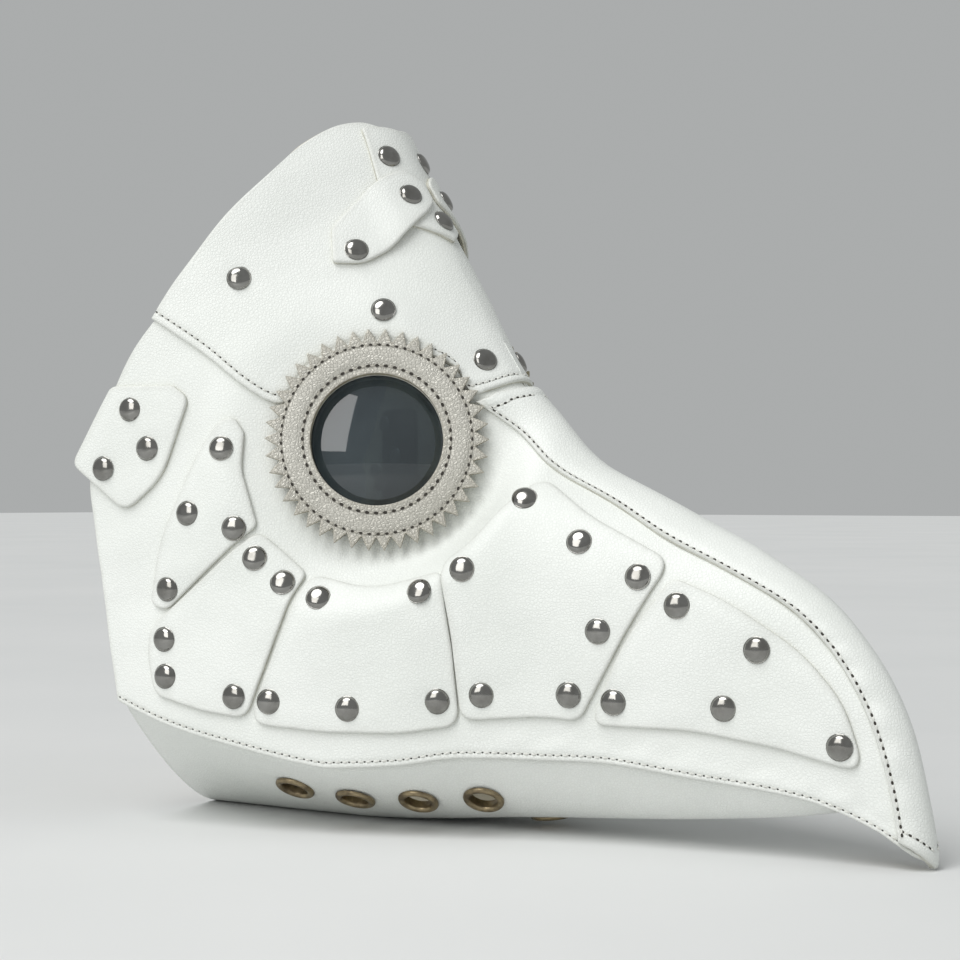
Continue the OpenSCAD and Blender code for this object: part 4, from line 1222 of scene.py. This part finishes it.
def eyelets():
    r, h = EYELET_D / 2, EYELET_HOLE / 2
    barrel = (r + h) / 2 - 0.9
    back = -PANEL_T - 2 * GAP
    profile = [
        (h, back + 0.1), (h - 0.02, 0.45), *arc(h, 0.5, (r + h) / 2, 1.4, -0.28, 5),
        *arc((r + h) / 2 + 0.2, 1.4, r, 0.25, -0.3, 6), (r - 0.05, 0.05), (r - 0.3, 0), (barrel - 0.2, 0),
        (barrel - 0.2, back), (r - 1.2, back), (r - 1, back - 0.2), (r - 1.2, back - 0.45),
        (h + 0.4, back - 0.5),
        (h + 0.05, back - 0.35),
    ]
    points, faces = lathe(profile, 48, closed=True)
    places = [(gusset_base(*v) - gusset_up(*v) * GAP, -gusset_up(*v)) for v in VENTS]
    add("vent_eyelets", "antique_brass", [BRASS], *copies(points, faces, places), sharp=40)


# ---- head strap and buckle ----

STRAP_AT = side_point([-112.0, 132.0], -PANEL_T - GAP)
STRAP_TURN = math.radians(9.6)


def strap_space(u, v, z):
    """Right side: u along the panel, v to the middle and z up."""
    c, s = math.cos(STRAP_TURN), math.sin(STRAP_TURN)
    u, v, z = np.broadcast_arrays(u, v, z)
    return np.stack([STRAP_AT[0] + u * c - v * s, STRAP_AT[1] + u * s + v * c, z], -1)


MIDDLE_T = STRAP_T / 2 + 0.8
LONG_STRAP = [
    [MIDDLE_T, 149], [MIDDLE_T, 130], [MIDDLE_T, 110], [MIDDLE_T + 0.4, 90], [MIDDLE_T + 1.8, 72],
    [9, 55], [18, 41], [30, 29], [43, 20], [56, 12.5], [68, 8],
]
BUCKLE_Z = 92.0
BUCKLE_Y = WIRE_D / 2 + STRAP_T + 1
STRAP_SLOTS = [DARK, DARK_EDGE, DARK]
HEM = 2.2  # from the strap's edge to its stitches


def ribbon(name, path, holes_at, ends, sides, node, slit=None):
    """Flat strap that follows a path of [inward, z], with rounded ends and punched holes."""
    dense = resample(np.asarray(path, float), 0.4, closed=False)
    lengths = travelled(dense)
    total = lengths[-1]
    ways = unit(np.gradient(dense, axis=0))[:, ::-1] * [1, -1]

    def place(p, lift):
        s = np.clip(p[..., 1], 0, total)
        at = between(s, lengths, dense) + np.asarray(lift)[..., None] * between(s, lengths, ways)
        return strap_space(p[..., 0], at[..., 0], at[..., 1])

    w = STRAP_W / 2
    outline = rounded([[-w, 0, ends[0]], [w, 0, ends[0]], [w, total, ends[1]], [-w, total, ends[1]]])
    holes = [circle(1.5, 24) + [0, s * total] for s in holes_at]
    if slit:
        holes.append(rounded([[x, slit[k], 2.3] for x, k in ((-2.4, 0), (2.4, 0), (2.4, 1), (-2.4, 1))]))

    def relief(p, d):
        return -0.18 * bell(d - HEM, 0.6)

    half = STRAP_T / 2
    shape = cut_piece(
        outline, place, -half, half, holes=holes, step=1.4, r=0.5, bands=(HEM - 0.5, HEM, HEM + 0.5),
        relief=relief, edge=1.0,
    )
    add_sides(name, "strap_leather", STRAP_SLOTS, *shape, nodes=[node], sides=sides)
    s = np.arange(3, total - 3, 0.5)
    for number, u in enumerate((HEM - w, w - HEM)):
        p = np.stack([np.full_like(s, u), s], -1)
        line = place(p, half - 0.15)
        stitches(
            f"{name}_stitches_{number}", "strap_leather", line, line - place(p, -half), 3.0,
            thread=THREAD_DARK, width=0.36, hole=0, sides=sides,
        )


def head_straps():
    path = along(LONG_STRAP, np.linspace(0, 1, 160))
    ribbon("strap_long", path, [0.62, 0.7, 0.78, 0.86, 0.94], (3, 7), ("right",), "head_strap_long")
    turn = np.radians(np.linspace(180, 330, 16))
    loop = np.stack([BUCKLE_Y + 2.6 * np.cos(turn), BUCKLE_Z + 2.6 * np.sin(turn)], -1)
    back = [[6.5, 92.6], [5.3, 95.4], [4.3, 98.2], [3.86, 101.2], [3.84, 105], [3.84, 110]]
    down = [[MIDDLE_T, 149], [MIDDLE_T, 110], [MIDDLE_T, 99], [1.84, 95]]
    path = np.vstack([down, loop, along(back, np.linspace(0, 1, 30))])
    slit = (50.5, np.interp(99.2, path[30:, 1], travelled(path)[30:]))
    ribbon("strap_short", path, [], (3, 1.5), ("left",), "head_strap_short", slit)


def keeper():
    def place(p, lift):
        return strap_space(p[..., 0], p[..., 1], lift)

    outer = rounded([[-11.5, 0.37, 1.2], [11.5, 0.37, 1.2], [11.5, 7.0, 2.4], [-11.5, 7.0, 2.4]])
    inner = rounded([[-10.3, 0.75, 0.8], [10.3, 0.75, 0.8], [10.3, 5.8, 1.6], [-10.3, 5.8, 1.6]])
    shape = cut_piece(
        outer, place, BUCKLE_Z + 22, BUCKLE_Z + 29, holes=[inner], step=1.2, r=0.3, edge=0.4
    )
    slots = [DARK_EDGE, DARK, DARK_EDGE]
    add_sides("strap_keeper", "strap_leather", slots, *shape, nodes=["strap_keeper"], sides=("left",))


def wire(path, radius, ring, closed=False):
    """Round wire along a path of points in the plane of x and z."""
    t = unit(np.roll(path, -1, 0) - np.roll(path, 1, 0) if closed else np.gradient(path, axis=0))
    n = unit(np.cross(t, [0.0, 1.0, 0.0]))
    return tube(path, np.cross(t, n), n, radius, ring, closed)


def buckle():
    def add_at_hinge(name, points, faces):
        points = strap_space(points[:, 0], BUCKLE_Y + points[:, 1], BUCKLE_Z + points[:, 2])
        add_sides(name, "nickel", [NICKEL], points, faces, nodes=[name], sides=("left",), body=name)

    x, low = STRAP_W / 2 + WIRE_D / 2 + 0.5, -22.0
    corners = rounded([[-x, 0, 2.2], [x, 0, 2.2], [x, low, 3.4], [-x, low, 3.4]], steps=12)
    path = resample(corners, 0.8)
    add_at_hinge("buckle_frame", *wire(np.insert(path, 1, 0, axis=1), WIRE_D / 2, 20, closed=True))
    bore, eye, wide = WIRE_D / 2 + 0.06, WIRE_D / 2 + 1.5, 1.8
    profile = [(bore, wide - 0.2), (bore + 0.2, wide), (eye - 0.4, wide), (eye, wide - 0.4),
               (eye, -wide + 0.4), (eye - 0.4, -wide), (bore + 0.2, -wide), (bore, -wide + 0.2)]
    ring, faces = lathe(profile, 40, closed=True)
    ring = ring[:, [2, 1, 0]], [f[::-1] for f in faces]
    rest, end = WIRE_D / 2 + 1.1 + 0.1, low - WIRE_D / 2 - 0.6
    z = np.linspace(-1, end - 0.9, 34)
    f = (z + 1) / (end + 0.1)
    y = rest + 0.35 * np.sin(np.pi * np.clip(f, 0, 1)) ** 2
    tip = np.sqrt(np.clip((z - end + 1.1) / 1.6, 0.02, 1))
    prong = wire(np.stack([0 * z, y, z], -1), (1.1 - 0.25 * np.clip(f, 0, 1)) * tip, 16)
    add_at_hinge("buckle_prong", *joined([ring, prong]))


# ---- stage ----

def floor():
    look = Look("floor")
    look.ramp(look.noise(3.0, 4.0), "Fac", (0.3, (0.66, 0.67, 0.665)), (0.7, (0.7, 0.705, 0.7)), "Base Color")
    mesh = bpy.data.meshes.new("floor")
    far, low = 12, -0.0002
    corners = [(-far, -far, low), (far, -far, low), (far, far, low), (-far, far, low)]
    mesh.from_pydata(corners, [], [(0, 1, 2, 3)])
    mesh.materials.append(look.put(Roughness=0.75))
    show("floor", mesh)


def aim(obj, way):
    obj.rotation_euler = Vector(way).to_track_quat("-Z", "Y").to_euler()


def studio():
    """Plain soft light and the camera, in metres."""
    scene = bpy.context.scene
    scene.world = bpy.data.worlds.new("studio")
    scene.world.use_nodes = True
    back = scene.world.node_tree.nodes["Background"]
    back.inputs["Color"].default_value = (0.78, 0.8, 0.8, 1)
    back.inputs["Strength"].default_value = 0.52
    sun = bpy.data.lights.new("sky", "SUN")
    sun.energy = 1.85
    sun.angle = math.radians(38)
    aim(show("sky", sun), (0.1, 0.5, -0.86))
    key = bpy.data.lights.new("key", "AREA")
    key.shape = "RECTANGLE"
    key.size, key.size_y = 0.5, 0.6
    key.energy = 2.8
    key.color = (1, 0.99, 0.97)
    obj = show("key", key)
    obj.location = (-0.04, -0.95, 0.52)
    aim(obj, (0.02, 0.95, -0.4))
    camera = bpy.data.cameras.new("camera")
    camera.lens = 75
    camera.sensor_width = 36
    camera.shift_y = 19 / 960
    camera.clip_start = 0.05
    obj = show("camera", camera)
    obj.location = (0.3765, -0.5734, 0.112)
    aim(obj, (-0.5736, 0.8192, 0))
    scene.camera = obj
    scene.view_settings.view_transform = "Standard"


studio()
floor()
side_panels()
under_gusset()
forehead_panel()
forehead_facing()
beak_top_strip()
forehead_shield()
forehead_straps()
plates()
gear_rings()
lenses()
rivets()
eyelets()
head_straps()
keeper()
buckle()
